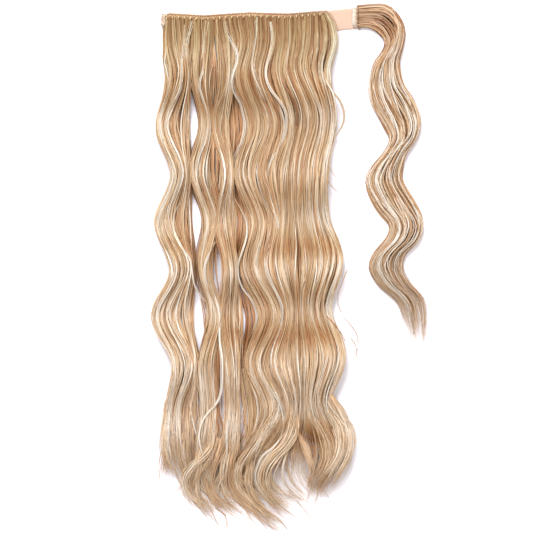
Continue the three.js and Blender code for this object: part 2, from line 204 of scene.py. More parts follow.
def frontTop(depth):
    bulk = hairpiece["frontBulk"] * swell(depth)
    return backTop(depth) + hairpiece["edgeStand"] * (1 - fullness(depth)) + bulk * fullness(depth)


# How much later the crests come at a root.
def crestDelay(root, depth):
    late = smooth(root, hairpiece["lagFrom"], hairpiece["lagTo"])
    return hairpiece["crestLag"] * late * fullness(depth)


# Slow wander between -1 and 1 along the hair.
def wander(rng, depth, wavelength):
    value = np.zeros_like(depth)
    for part in (1, 0.53, 0.29):
        phase = rng.uniform(0, 2 * np.pi)
        value += part * np.sin(2 * np.pi * depth / (wavelength * part) + phase)
    return value / 1.5


# Puts a node in a tree. Inputs are given by name; a socket is wired in, anything else is its value.
def put(tree, kind, inputs=None, **settings):
    node = tree.nodes.new(kind)
    for name, value in settings.items():
        setattr(node, name, value)
    for name, value in (inputs or {}).items():
        if isinstance(name, int):
            target = node.inputs[name]
        else:
            target = next(s for s in node.inputs if s.name == name and s.enabled)
        if isinstance(value, bpy.types.NodeSocket):
            tree.links.new(value, target)
        else:
            target.default_value = value
    return node


def result(node, name=None):
    return next(s for s in node.outputs if s.enabled and name in (None, s.name))


def calc(tree, operation, *values):
    return result(put(tree, "ShaderNodeMath", dict(enumerate(values)), operation=operation))


def vectorCalc(tree, operation, *values, scale=None):
    inputs = dict(enumerate(values))
    if scale is not None:
        inputs["Scale"] = scale
    return result(put(tree, "ShaderNodeVectorMath", inputs, operation=operation))


def times(tree, first, second):
    return calc(tree, "MULTIPLY", first, second)


def plus(tree, first, second):
    return calc(tree, "ADD", first, second)


def vectorOf(tree, **parts):
    return result(put(tree, "ShaderNodeCombineXYZ", parts))


# Runs from one value to another while what it reads goes from low to high.
def ramp(tree, value, low, high, start=0.0, end=1.0):
    return result(put(tree, "ShaderNodeMapRange", {
        "Value": value, "From Min": low, "From Max": high, "To Min": start, "To Max": end,
    }))


def mixed(tree, share, first, second, kind="RGBA", **settings):
    inputs = {"Factor": share, "A": first, "B": second}
    return result(put(tree, "ShaderNodeMix", inputs, data_type=kind, **settings))


def noise(tree, place, scale, detail, output="Fac"):
    inputs = {"Vector": place, "Scale": scale, "Detail": detail}
    return result(put(tree, "ShaderNodeTexNoise", inputs), output)


def randomValue(tree, low, high, seed):
    inputs = {"Min": low, "Max": high, "Seed": seed}
    return result(put(tree, "FunctionNodeRandomValue", inputs, data_type="FLOAT"))


def newTree(name, kind, inputs, outputs):
    tree = bpy.data.node_groups.new(name, kind)
    for label, socketType, value in inputs:
        socket = tree.interface.new_socket(label, in_out="INPUT", socket_type=socketType)
        if value is not None:
            socket.default_value = value
    for label, socketType in outputs:
        tree.interface.new_socket(label, in_out="OUTPUT", socket_type=socketType)
    return tree, tree.nodes.new("NodeGroupInput").outputs, tree.nodes.new("NodeGroupOutput").inputs


def named(tree, name):
    return result(put(tree, "GeometryNodeInputNamedAttribute", {"Name": name}, data_type="FLOAT"))


def store(tree, geometry, name, value, domain="POINT", dataType="FLOAT"):
    inputs = {"Geometry": geometry, "Name": name, "Value": value}
    kind = "GeometryNodeStoreNamedAttribute"
    return result(put(tree, kind, inputs, domain=domain, data_type=dataType))


# Ends a tree: smooth shading, real geometry and its material.
def endTree(tree, geometry, material, out):
    smoothed = result(put(tree, "GeometryNodeSetShadeSmooth", {"Geometry": geometry}))
    plain = result(put(tree, "GeometryNodeRealizeInstances", {"Geometry": smoothed}))
    final = result(put(tree, "GeometryNodeSetMaterial", {"Geometry": plain, "Material": material}))
    tree.links.new(final, out)


# Strands laid along lock paths. Each path point holds the lock's half width "spread", its half
# thickness "thick", the turn "turn" of its strands round its middle, "tint", "gleam" and "depth".
def strandTree():
    tree, given, out = newTree(
        "strands along locks",
        "GeometryNodeTree",
        [
            ("Locks", "NodeSocketGeometry", None),
            ("Strands", "NodeSocketInt", 8),
            ("Strand Width", "NodeSocketFloat", 1.2 * mm),
            ("Flatness", "NodeSocketFloat", 0.7),
            ("Sides", "NodeSocketInt", 3),
            ("Evenness", "NodeSocketFloat", 0.0),
            ("Frizz", "NodeSocketFloat", 0.5 * mm),
            ("Raggedness", "NodeSocketFloat", 0.08),
            ("Tint Spread", "NodeSocketFloat", 0.3),
            ("Side Shade", "NodeSocketFloat", 0.15),  # how much darker a ribbon's sides are
            ("Seed", "NodeSocketInt", 1),
            ("Material", "NodeSocketMaterial", None),
        ],
        [("Hair", "NodeSocketGeometry")],
    )

    # A value that is the same all along a strand, drawn between low and high.
    def perStrand(low, high, step):
        value = randomValue(tree, low, high, plus(tree, given["Seed"], step))
        return result(put(tree, "GeometryNodeFieldOnDomain", {"Value": value}, domain="CURVE"))

    curves = result(put(tree, "GeometryNodeMeshToCurve", {"Mesh": given["Locks"]}))
    inputs = {"Geometry": curves, "Amount": given["Strands"]}
    doubled = put(tree, "GeometryNodeDuplicateElements", inputs, domain="SPLINE")
    hair = result(doubled, "Geometry")
    hair = store(tree, hair, "copy", result(doubled, "Duplicate Index"), domain="CURVE")
    hair = store(tree, hair, "strand", perStrand(0.0, 1.0, 11), domain="CURVE")

    # Where in its lock a strand runs: its turn round the middle and its reach from it.
    evenTurn = times(tree, calc(tree, "DIVIDE", named(tree, "copy"), given["Strands"]), 2 * np.pi)
    looseTurn = perStrand(0.0, 2 * np.pi, 2)
    start = mixed(tree, given["Evenness"], looseTurn, evenTurn, kind="FLOAT")
    turn = plus(tree, start, named(tree, "turn"))
    reach = calc(tree, "MAXIMUM", calc(tree, "SQRT", perStrand(0.0, 1.0, 3)), given["Evenness"])
    aside = times(tree, calc(tree, "COSINE", turn), reach)
    across = times(tree, aside, named(tree, "spread"))
    up = times(tree, times(tree, calc(tree, "SINE", turn), reach), named(tree, "thick"))
    tangent = result(put(tree, "GeometryNodeInputTangent"))
    side = vectorCalc(tree, "NORMALIZE", vectorCalc(tree, "CROSS_PRODUCT", tangent, (0, 0, 1)))

    # A strand's own tint, mostly near its lock's, with painted shade darkening the lock's sides and
    # painted light in its middle.
    sideShade = calc(tree, "SUBTRACT", 0.4, calc(tree, "ABSOLUTE", aside))
    shade = times(tree, given["Side Shade"], sideShade)
    ownTint = times(tree, given["Tint Spread"], calc(tree, "POWER", perStrand(-1.0, 1.0, 1), 3.0))
    tint = plus(tree, named(tree, "tint"), plus(tree, ownTint, shade))
    hair = store(tree, hair, "tint", tint)

    # Frizz grows from nothing at the roots.
    spot = vectorOf(
        tree, X=times(tree, named(tree, "strand"), 90.0), Y=times(tree, named(tree, "depth"), 14.0)
    )
    grown = calc(tree, "MINIMUM", times(tree, named(tree, "depth"), 12.0), 2.0)
    away = vectorCalc(tree, "SUBTRACT", noise(tree, spot, 1.0, 1.0, "Color"), (0.5, 0.5, 0.5))
    frizz = vectorCalc(tree, "SCALE", away, scale=times(tree, given["Frizz"], grown))
    offset = vectorCalc(
        tree, "ADD", vectorCalc(tree, "SCALE", side, scale=across),
        vectorCalc(tree, "ADD", frizz, vectorOf(tree, Z=up)),
    )
    hair = result(put(tree, "GeometryNodeSetPosition", {"Geometry": hair, "Offset": offset}))

    # No strand dips into the floor.
    place = result(put(tree, "GeometryNodeInputPosition"))
    here = put(tree, "ShaderNodeSeparateXYZ", {"Vector": place}).outputs
    lowest = times(tree, given["Strand Width"], 0.6)
    aboveFloor = vectorOf(tree, X=here["X"], Y=here["Y"], Z=calc(tree, "MAXIMUM", here["Z"], lowest))
    hair = result(put(tree, "GeometryNodeSetPosition", {"Geometry": hair, "Position": aboveFloor}))

    # Ends are ragged and taper to a point.
    short = times(tree, given["Raggedness"], calc(tree, "POWER", perStrand(0.0, 1.0, 4), 1.8))
    end = calc(tree, "SUBTRACT", 1.0, short)
    hair = result(put(tree, "GeometryNodeTrimCurve", {"Curve": hair, "End": end}))
    factor = result(put(tree, "GeometryNodeSplineParameter"), "Factor")
    taper = ramp(tree, factor, 0.72, 1.0, 1.0, 0.15)
    width = times(tree, given["Strand Width"], perStrand(0.3, 0.7, 5))
    hair = store(tree, hair, "alongHair", factor)
    hair = result(put(tree, "GeometryNodeSetCurveNormal", {"Curve": hair}, mode="Z_UP"))
    tilt = perStrand(-0.5, 0.5, 6)
    hair = result(put(tree, "GeometryNodeSetCurveTilt", {"Curve": hair, "Tilt": tilt}))

    # A flattened section is swept along each strand.
    ring = {"Resolution": given["Sides"], "Radius": 1.0}
    circle = result(put(tree, "GeometryNodeCurvePrimitiveCircle", ring))
    around = result(put(tree, "GeometryNodeInputPosition"))
    circle = store(tree, circle, "aroundHair", around, dataType="FLOAT_VECTOR")
    flat = vectorOf(tree, X=given["Flatness"], Y=1.0, Z=1.0)
    section = result(put(tree, "GeometryNodeTransform", {"Geometry": circle, "Scale": flat}))
    tubes = result(put(tree, "GeometryNodeCurveToMesh", {
        "Curve": hair, "Profile Curve": section, "Scale": times(tree, width, taper), "Fill Caps": True,
    }))
    endTree(tree, tubes, given["Material"], out["Hair"])
    return tree


# Thread stitches laid across a path at even distances, each a small bow.
def stitchTree():
    tree, given, out = newTree(
        "stitches along a path",
        "GeometryNodeTree",
        [
            ("Path", "NodeSocketGeometry", None),
            ("Spacing", "NodeSocketFloat", 3 * mm),
            ("Reach", "NodeSocketFloat", 4 * mm),  # length of a stitch across the path
            ("Slant", "NodeSocketFloat", 0.5 * mm),
            ("Bow", "NodeSocketFloat", 0.6 * mm),
            ("Thread", "NodeSocketFloat", 0.25 * mm),
            ("Looseness", "NodeSocketFloat", 0.15),
            ("Seed", "NodeSocketInt", 1),
            ("Material", "NodeSocketMaterial", None),
        ],
        [("Stitches", "NodeSocketGeometry")],
    )
    curve = result(put(tree, "GeometryNodeMeshToCurve", {"Mesh": given["Path"]}))
    inputs = {"Curve": curve, "Length": given["Spacing"]}
    places = result(put(tree, "GeometryNodeResampleCurve", inputs, mode="LENGTH"))
    halfReach = times(tree, given["Reach"], 0.5)
    bow = result(put(tree, "GeometryNodeCurveQuadraticBezier", {
        "Resolution": 6,
        "Start": vectorOf(tree, X=times(tree, given["Slant"], -1.0), Y=times(tree, halfReach, -1.0)),
        "Middle": vectorOf(tree, Z=times(tree, given["Bow"], 2.0)),
        "End": vectorOf(tree, X=given["Slant"], Y=halfReach),
    }))
    circle = {"Resolution": 5, "Radius": given["Thread"]}
    ring = result(put(tree, "GeometryNodeCurvePrimitiveCircle", circle))
    inputs = {"Curve": bow, "Profile Curve": ring, "Fill Caps": True}
    stitch = result(put(tree, "GeometryNodeCurveToMesh", inputs))
    tangent = result(put(tree, "GeometryNodeInputTangent"))
    kind = "FunctionNodeAlignRotationToVector"
    facing = result(put(tree, kind, {"Vector": tangent}, axis="X", pivot_axis="Z"))
    laid = result(put(tree, "GeometryNodeInstanceOnPoints", {
        "Points": places, "Instance": stitch, "Rotation": facing,
        "Scale": randomValue(tree, 0.8, 1.15, given["Seed"]),
    }))
    turn = randomValue(
        tree, times(tree, given["Looseness"], -1.0), given["Looseness"], plus(tree, given["Seed"], 1.0)
    )
    inputs = {"Instances": laid, "Rotation": vectorOf(tree, Z=turn)}
    laid = result(put(tree, "GeometryNodeRotateInstances", inputs))
    endTree(tree, laid, given["Material"], out["Stitches"])
    return tree


# Turns paths into an object of loose edges with one attribute for each column.
def pathObject(name, paths):
    points = np.concatenate([path["points"] for path in paths])
    counts = [len(path["points"]) for path in paths]
    starts = np.concatenate([[0], np.cumsum(counts)[:-1]])
    edges = np.concatenate([
        start + np.stack([np.arange(count - 1), np.arange(1, count)], 1)
        for count, start in zip(counts, starts)
    ])
    mesh = bpy.data.meshes.new(name)
    mesh.vertices.add(len(points))
    mesh.edges.add(len(edges))
    mesh.vertices.foreach_set("co", (points + np.array(origin)).astype(np.float32).ravel())
    mesh.edges.foreach_set("vertices", edges.astype(np.int32).ravel())
    for column in [name for name in paths[0] if name != "points"]:
        values = [np.broadcast_to(path[column], len(path["points"])) for path in paths]
        attribute = mesh.attributes.new(column, "FLOAT", "POINT")
        attribute.data.foreach_set("value", np.concatenate(values).astype(np.float32))
    mesh.update()
    obj = bpy.data.objects.new(name, mesh)
    bpy.context.scene.collection.objects.link(obj)
    return obj


# Runs a geometry tree on an object and leaves a plain mesh in its place.
def grow(obj, tree, **values):
    modifier = obj.modifiers.new("grown", "NODES")
    modifier.node_group = tree
    items = [item for item in tree.interface.items_tree if item.in_out == "INPUT"]
    sockets = {item.name: item.identifier for item in items}
    for name, value in values.items():
        modifier[sockets[name.replace("_", " ")]] = value
    bpy.context.view_layer.update()
    seen = obj.evaluated_get(bpy.context.evaluated_depsgraph_get())
    mesh = bpy.data.meshes.new_from_object(seen)
    name = obj.name
    bpy.data.objects.remove(obj)
    mesh.name = name
    grown = bpy.data.objects.new(name, mesh)
    bpy.context.scene.collection.objects.link(grown)
    return grown


def joined(name, objects):
    chosen = {"active_object": objects[0], "selected_editable_objects": objects}
    with bpy.context.temp_override(selected_objects=objects, **chosen):
        bpy.ops.object.join()
    objects[0].name = name
    return objects[0]


def finished(piece, slot, *nodes):
    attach(piece, "root")
    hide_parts(*nodes)
    print(f"{piece.name}: {sum(len(face.vertices) - 2 for face in piece.data.polygons)} triangles")
    return piece


# Camera: straight above, its frame as wide as the photograph's.
camera = {
    "lens": 135,
    "sensor": 36,
    "frame": 540 * mm,  # width of the floor that it sees
    "x": -17.9 * mm,
    "y": -2.85 * mm,
    "hairLevel": 5 * mm,
}
cameraData = bpy.data.cameras.new("camera")
cameraData.lens = camera["lens"]
cameraData.sensor_width = camera["sensor"]
cameraObject = bpy.data.objects.new("camera", cameraData)
bpy.context.scene.collection.objects.link(cameraObject)
cameraHeight = camera["frame"] * camera["lens"] / camera["sensor"]
cameraObject.location = (camera["x"], camera["y"], cameraHeight + camera["hairLevel"])
bpy.context.scene.camera = cameraObject

# Light: one wide soft lamp past the wefts, a weaker one across, and a bright room.
studio = {
    "key": {"at": (-0.9, 3.0, 2.9), "size": 2.2, "watts": 250, "colour": (0.945, 0.99, 1.05)},
    "fill": {"at": (0.8, -1.2, 2.2), "size": 1.6, "watts": 16, "colour": (0.94, 0.95, 1)},
    "room": (1.05, 0.985, 0.935),
    "roomStrength": 0.7,
    "floor": (0.9, 0.885, 0.93),
    "floorSize": 14,
}
for name in ("key", "fill"):
    lamp = studio[name]
    data = bpy.data.lights.new(name, "AREA")
    data.shape = "DISK"
    data.size = lamp["size"]
    data.energy = lamp["watts"]
    data.color = lamp["colour"]
    light = bpy.data.objects.new(name, data)
    light.location = lamp["at"]
    light.rotation_mode = "QUATERNION"
    light.rotation_quaternion = (-Vector(lamp["at"])).to_track_quat("-Z", "Y")
    bpy.context.scene.collection.objects.link(light)
world = bpy.data.worlds.new("room")
world.use_nodes = True
world.node_tree.nodes["Background"].inputs["Color"].default_value = (*studio["room"], 1)
world.node_tree.nodes["Background"].inputs["Strength"].default_value = studio["roomStrength"]
bpy.context.scene.world = world
bpy.context.scene.view_settings.view_transform = "Standard"


# A new material with its tree and its shader.
def newMaterial(name, roughness):
    material = bpy.data.materials.new(name)
    material.use_nodes = True
    shader = material.node_tree.nodes["Principled BSDF"]
    shader.inputs["Roughness"].default_value = roughness
    return material, material.node_tree, shader


def addBump(tree, shader, height, strength, distance):
    inputs = {"Height": height, "Strength": strength, "Distance": distance}
    tree.links.new(result(put(tree, "ShaderNodeBump", inputs)), shader.inputs["Normal"])


floorMaterial, _, floorShader = newMaterial("paper", 0.9)
floorShader.inputs["Base Color"].default_value = (*studio["floor"], 1)
floorMesh = bpy.data.meshes.new("floor")
half = studio["floorSize"] / 2
corners = [(-half, -half, 0), (half, -half, 0), (half, half, 0), (-half, half, 0)]
floorMesh.from_pydata(corners, [], [(0, 1, 2, 3)])
floorMesh.materials.append(floorMaterial)
floor = bpy.data.objects.new("floor", floorMesh)
bpy.context.scene.collection.objects.link(floor)
print("camera, light and floor are set")


# Colour of hair from its tint: 0 is the darkest lowlight, 1 the palest highlight.
def hairToneTree():
    tree, given, out = newTree(
        "hair tone",
        "ShaderNodeTree",
        [
            ("Tint", "NodeSocketFloat", 0.5),
            ("Strand", "NodeSocketFloat", 0.0),
            ("Along", "NodeSocketFloat", 0.0),
            ("Around", "NodeSocketVector", None),
            ("Depth", "NodeSocketFloat", 0.5),
            ("Gleam", "NodeSocketFloat", 0.0),  # how much brighter than its tone
            ("Shadow", "NodeSocketColor", (0, 0, 0, 1)),
            ("Lowlight", "NodeSocketColor", (0, 0, 0, 1)),
            ("Gold", "NodeSocketColor", (0, 0, 0, 1)),
            ("Highlight", "NodeSocketColor", (1, 1, 1, 1)),
            ("Streak", "NodeSocketFloat", 0.2),
        ],
        [("Color", "NodeSocketColor"), ("Height", "NodeSocketFloat")],
    )
    # Fine streaks along each strand and a slow drift from strand to strand, both fading at the ends.
    shift = vectorOf(tree, X=times(tree, given["Strand"], 173.0), Z=times(tree, given["Along"], 5.0))
    spot = vectorCalc(tree, "ADD", vectorCalc(tree, "SCALE", given["Around"], scale=2.2), shift)
    fine = noise(tree, spot, 1.6, 3.0)
    slow = noise(tree, shift, 1.0, 1.0)
    fading = ramp(tree, given["Depth"], 0.6, 0.85, 1.0, 0.4)
    streak = times(tree, calc(tree, "SUBTRACT", fine, 0.5), times(tree, given["Streak"], fading))
    drift = times(tree, calc(tree, "SUBTRACT", slow, 0.5), times(tree, fading, 0.35))
    rootShade = ramp(tree, given["Depth"], 0.02, 0.12, -0.3, 0.0)
    tint = plus(tree, plus(tree, given["Tint"], streak), plus(tree, drift, rootShade))
    colour = given["Shadow"]
    for name, low, high in (("Lowlight", 0.0, 0.25), ("Gold", 0.25, 0.55), ("Highlight", 0.55, 1.0)):
        colour = mixed(tree, ramp(tree, tint, low, high), colour, given[name])
    # Hair is duller near the sewn edge.
    edgeShare = ramp(tree, given["Depth"], 0.04, 0.14, 1.0, 0.0)
    dulled = mixed(tree, edgeShare, colour, (0.85, 0.985, 0.965, 1), blend_type="MULTIPLY")
    # Painted highlight: where hair gleams it is brighter and also paler.
    brighter = plus(tree, times(tree, given["Gleam"], 0.6), 1.0)
    gleaming = vectorCalc(
        tree, "ADD", vectorCalc(tree, "SCALE", dulled, scale=brighter),
        vectorCalc(tree, "SCALE", (0.1, 0.11, 0.15), scale=given["Gleam"]),
    )
    tree.links.new(gleaming, out["Color"])
    tree.links.new(fine, out["Height"])
    return tree


hairTone = hairToneTree()


# Sockets of the hair tone, the attributes that they read and the reader's outputs.
hairReads = (
    ("Tint", "tint", "Fac"),
    ("Strand", "strand", "Fac"),
    ("Along", "alongHair", "Fac"),
    ("Around", "aroundHair", "Vector"),
    ("Depth", "depth", "Fac"),
    ("Gleam", "gleam", "Fac"),
)


def hairMaterial(name, **colours):
    material, tree, shader = newMaterial(name, 0.4)
    shader.inputs["IOR"].default_value = 1.45
    tone = put(tree, "ShaderNodeGroup", node_tree=hairTone)
    for socket, attribute, output in hairReads:
        settings = {"attribute_name": attribute, "attribute_type": "GEOMETRY"}
        reader = put(tree, "ShaderNodeAttribute", **settings)
        tree.links.new(reader.outputs[output], tone.inputs[socket])
    for socket, colour in colours.items():
        tone.inputs[socket.capitalize()].default_value = (*colour, 1)
    addBump(tree, shader, tone.outputs["Height"], 0.2, 0.1 * mm)
    tree.links.new(tone.outputs["Color"], shader.inputs["Base Color"])
    return material


frontHairFinish = hairMaterial(
    "golden hair with pale highlights",
    shadow=(0.24, 0.092, 0.036),
    lowlight=(0.425, 0.21, 0.094),
    gold=(0.575, 0.397, 0.223),
    highlight=(0.825, 0.778, 0.698),
)
# Painted shade: a darker copy of the hair finish for the back weft, which lies under the front one.
shadedBackHairFinish = hairMaterial(
    "shaded back hair",
    shadow=(0.2, 0.074, 0.028),
    lowlight=(0.38, 0.18, 0.08),
    gold=(0.56, 0.35, 0.19),
    highlight=(0.83, 0.72, 0.58),
)
wrapHairFinish = hairMaterial(
    "golden wrap hair",
    shadow=(0.24, 0.094, 0.038),
    lowlight=(0.43, 0.222, 0.102),
    gold=(0.605, 0.417, 0.245),
    highlight=(0.835, 0.785, 0.705),
)
print("hair finishes are set")

strands = strandTree()
stitches = stitchTree()

# Locks of the front weft: (group, from root, to root, length as a share of hairLength).
frontLocks = [
    (1, 0, 0.055, 0.905),
    (1, 0.055, 0.11, 0.915),
    (1, 0.11, 0.165, 0.925),
    (2, 0.177, 0.238, 0.95),
    (2, 0.238, 0.299, 0.96),
    (3, 0.317, 0.366, 0.965),
    (3, 0.366, 0.415, 0.965),
    (4, 0.427, 0.494, 0.955),
    (4, 0.494, 0.567, 0.955),
    (4, 0.567, 0.652, 0.93),
    (4, 0.652, 0.75, 0.9),
    (4, 0.75, 0.823, 0.89),
    (4, 0.823, 0.91, 0.93),
    (4, 0.91, 1, 0.945),
]
backLocks = [
    (1, 0.006, 0.08, 0.86),
    (1, 0.08, 0.163, 0.88),
    (0, 0.182, 0.24, 0.9),
    (0, 0.24, 0.296, 0.9),
    (0, 0.32, 0.42, 0.89),
    (0, 0.42, 0.567, 0.9),
    (0, 0.567, 0.7, 0.89),
    (0, 0.7, 0.85, 0.9),
    (0, 0.85, 0.992, 0.88),
]

# Layers of ribbons in a weft, from the floor up: level in the weft's thickness, distance between
# ribbons, strands in each and their width, and the ribbons' tint, darker in the lower layers as
# painted shade of the hair above them; "shade" is the painted shade on each ribbon's sides.
frontLayers = [
    {"level": 0.25, "spacing": 6 * mm, "strands": 8, "width": 2 * mm, "tint": 0.4, "tintRange": 0.06,
     "spread": 4.5 * mm, "thick": 0.9 * mm, "drift": 0.01, "shift": 1.6 * mm, "shade": 0.05},
    {"level": 0.55, "spacing": 5 * mm, "strands": 9, "width": 1.5 * mm, "tint": 0.45, "tintRange": 0.08,
     "spread": 3.2 * mm, "thick": 1 * mm, "drift": 0.009, "shift": 1.4 * mm, "shade": 0.1},
    {"level": 0.78, "spacing": 7.6 * mm, "strands": 22, "width": 1.1 * mm, "tint": 0.5, "tintRange": 0.1,
     "spread": 4.2 * mm, "thick": 1.9 * mm, "drift": 0.008, "shift": 1.1 * mm, "shade": 0.25},
    {"level": 0.93, "spacing": 4.4 * mm, "strands": 12, "width": 0.85 * mm, "tint": 0.52,
     "tintRange": 0.12, "spread": 2.1 * mm, "thick": 1 * mm, "drift": 0.009, "shift": 1.1 * mm,
     "shade": 0.15},
]
# The back weft's ribbons are tinted darker still, painted shade of the front weft over them.
backLayers = [
    {"level": 0.35, "spacing": 7.5 * mm, "strands": 6, "width": 3.2 * mm, "tint": 0.36, "tintRange": 0.08,
     "spread": 5.5 * mm, "thick": 1 * mm, "drift": 0.012, "shift": 1.4 * mm, "shade": 0.1},
    {"level": 0.9, "spacing": 4.8 * mm, "strands": 7, "width": 2.1 * mm, "tint": 0.4, "tintRange": 0.12,
     "spread": 4.4 * mm, "thick": 1 * mm, "drift": 0.012, "shift": 1.4 * mm, "shade": 0.2},
]


# Depths along a ribbon: close together at the sewn edge, where the hair rises from it.
stations = {"upper": 6, "upperEnd": 44 * mm, "step": 7 * mm}


def stationsDown(start, length):
    upperEnd = stations["upperEnd"]
    upper = np.linspace(start, upperEnd, stations["upper"])
    lower = np.linspace(upperEnd, length, int((length - upperEnd) / stations["step"]) + 1)
    return np.concatenate([upper[:-1], lower])


# The last strands at the right fan out over the band.
def fanOut(root, depth):
    reach = 5.5 * mm * smooth(root, 0.92, 1)
    return reach * smooth(depth, 3 * mm, 15 * mm) * (1 - smooth(depth, 26 * mm, 62 * mm))


# The groups close up towards the sewn edge.
def closedRoot(root, first, last, depth):
    place = 2 * (root - first) / (last - first) - 1
    return root + 0.0095 * place * (1 - smooth(depth, 48 * mm, 92 * mm))


# Painted shade of the hair in the hollows between bends, and its painted gleam on the crests.
def paintedWaveLight(root, depth):
    tint = np.zeros_like(depth)
    for first, last, centre, half, change in paintedWaveBands:
        across = smooth(root, first - 0.05, first + 0.05) * (1 - smooth(root, last - 0.05, last + 0.05))
        tint += change * across * np.exp(-(((depth / mm - centre) / half) ** 2))
    return tint


# Painted shade in the hollows and painted highlight on the crests of the waves: (from root, to
# root), middle and half width in millimetres down the hair, change of tint.
paintedWaveBands = [
    (0.33, 0.47, 36, 14, 0.15),
    (0.9, 1.1, 30, 12, 0.17),
    (-0.1, 1.1, 55, 20, -0.05),
    (-0.1, 0.17, 65, 16, -0.12),
    (0.47, 0.9, 66, 14, -0.16),
    (0.9, 1.1, 78, 12, -0.2),
    (-0.1, 1.1, 88, 11, -0.12),
    (-0.1, 0.17, 104, 13, 0.2),
    (0.17, 0.32, 94, 9, -0.12),
    (0.6, 1.1, 104, 11, 0.13),
    (-0.1, 1.1, 124, 12, 0.05),
    (-0.1, 0.47, 136, 10, -0.14),
    (0.17, 0.6, 164, 11, 0.2),
    (0.6, 0.9, 160, 10, 0.1),
    (0.6, 1.1, 179, 9, -0.09),
    (-0.1, 0.17, 194, 17, 0.18),
    (0.17, 0.6, 211, 10, 0.18),
    (0.6, 1.1, 205, 11, 0.18),
    (-0.1, 0.17, 232, 9, -0.22),
    (0.33, 0.47, 234, 11, -0.22),
    (0.6, 1.1, 235, 11, -0.26),
    (0.6, 1.1, 254, 9, 0.12),
    (-0.1, 0.32, 266, 12, 0.12),
    (0.33, 0.6, 260, 9, 0.28),
    (0.6, 0.9, 279, 9, -0.15),
    (-0.1, 0.32, 299, 15, 0.24),
    (0.33, 1.1, 297, 9, 0.16),
    (0.17, 1.1, 323, 10, -0.22),
    (-0.1, 0.17, 350, 16, 0.2),
    (0.17, 0.47, 366, 14, 0.17),
    (0.47, 0.74, 354, 12, 0.3),
    (0.74, 1.1, 348, 10, 0.12),
    (-0.1, 1.1, 382, 18, 0.14),
    (-0.1, 0.42, 411, 16, 0.28),
    (0.5, 0.6, 392, 14, 0.3),
    (0.6, 0.9, 396, 10, 0.14),
    (0.72, 1.1, 420, 12, -0.3),
    (0.47, 0.6, 446, 11, 0.2),
    (-0.1, 0.17, 446, 10, -0.08),
    (0.3, 0.47, 450, 14, -0.3),
    (0.5, 0.6, 424, 10, -0.2),
    (0.74, 0.9, 430, 12, -0.2),
    (0.17, 0.33, 470, 18, 0.2),
    (-0.1, 0.5, 400, 55, 0.11),
    (0.5, 1.1, 385, 45, 0.05),
    (-0.1, 0.2, 480, 25, 0.12),
]


# How a ribbon lies. Its root wanders with depth inside its group, its ends sweep and fan, and the
# hair is lower at the groups' edges and between locks.
ribbonWay = {
    "rootWave": 240 * mm,  # lengths of the slow wanders
    "levelWave": 130 * mm,
    "pinchWave": 150 * mm,
    "tintWave": 160 * mm,
    "tailFrom": 0.82,
    "tailStray": 0.02,
    "tailFan": 0.9,
    "edgeDrop": 0.5,
    "edgeDropWidth": 5 * mm,
    "lockDrop": 0.22,
    "paintedEdgeHighlight": 0.16,  # how much paler the outermost strands are
}


def ribbon(rng, rows, root, length, layer, top, base, placeAcross, group):
    depth = stationsDown(layer.get("start", 4 * mm), length)
    full = fullness(depth)
    tail = smooth(depth / length, ribbonWay["tailFrom"], 1)
    first, last = rows[0][1], rows[-1][2]
    stray = wander(rng, depth, ribbonWay["rootWave"]) * layer["drift"]
    root = root + stray * smooth(depth, 4 * mm, 36 * mm)
    root = np.maximum(np.clip(root, first, last), besideBinding(depth))
    root = closedRoot(root, first, last, depth) + tail * rng.normal(0, ribbonWay["tailStray"])
    sweep = rng.uniform(-2, 9) if 0.17 < first < 0.5 else rng.uniform(-4, 4)
    x = placeAcross(root, depth + rng.normal(0, layer["shift"]) * full, group) + fanOut(root, depth)
    x = x + sweep * mm * tail**2
    edge = np.minimum(root - first, last - root) * hairpiece["weftWidth"]
    crown = 1 - ribbonWay["edgeDrop"] * (1 - smooth(edge, 0, ribbonWay["edgeDropWidth"])) * full
    lock = next((row for row in rows if row[2] >= float(root[0]) - 1e-6), rows[-1])
    across = np.clip((root - lock[1]) / (lock[2] - lock[1]), 0, 1)
    crown = crown * (1 - ribbonWay["lockDrop"] * np.abs(np.cos(np.pi * across)) ** 3 * full)
    low = base(depth)
    rise = layer["level"] + layer.get("weave", 0.06) * wander(rng, depth, ribbonWay["levelWave"]) * full
    z = low + rise * (top(depth - crestDelay(root, depth)) - low) * crown
    pinch = 0.8 + 0.2 * wander(rng, depth, ribbonWay["pinchWave"])
    tint = layer["tint"] + rng.uniform(-1, 1) * layer["tintRange"]
    tint = tint + layer.get("tintDrift", 0.08) * wander(rng, depth, ribbonWay["tintWave"])
    # Painted highlight: the outermost strands on both sides are paler.
    tint = tint + ribbonWay["paintedEdgeHighlight"] * (smooth(root, 0.96, 1) + 1 - smooth(root, 0, 0.035))
    tint = tint - layer.get("fade", 0) * (1 - smooth(depth, 10 * mm, 45 * mm))
    wave = paintedWaveLight(root, depth)
    return {
        "points": np.stack([x, strandY(root, depth), np.maximum(z, layer["width"] / 2)], 1),
        "spread": layer["spread"] * pinch * (1 + ribbonWay["tailFan"] * tail),
        "thick": layer["thick"] * (0.4 + 0.6 * full) * (1 - 0.5 * tail),
        "turn": depth / hairpiece["hairLength"] * rng.uniform(-3, 3),
        # Painted shade in the wave hollows and painted highlight on the crests, as tint and gleam.
        "tint": tint + np.where(wave > 0, 0.35, 0.8) * wave,
        "gleam": layer.get("gleam", 1) * np.where(wave > 0, 1, 0.4) * wave,
        "depth": depth / hairpiece["hairLength"],
    }


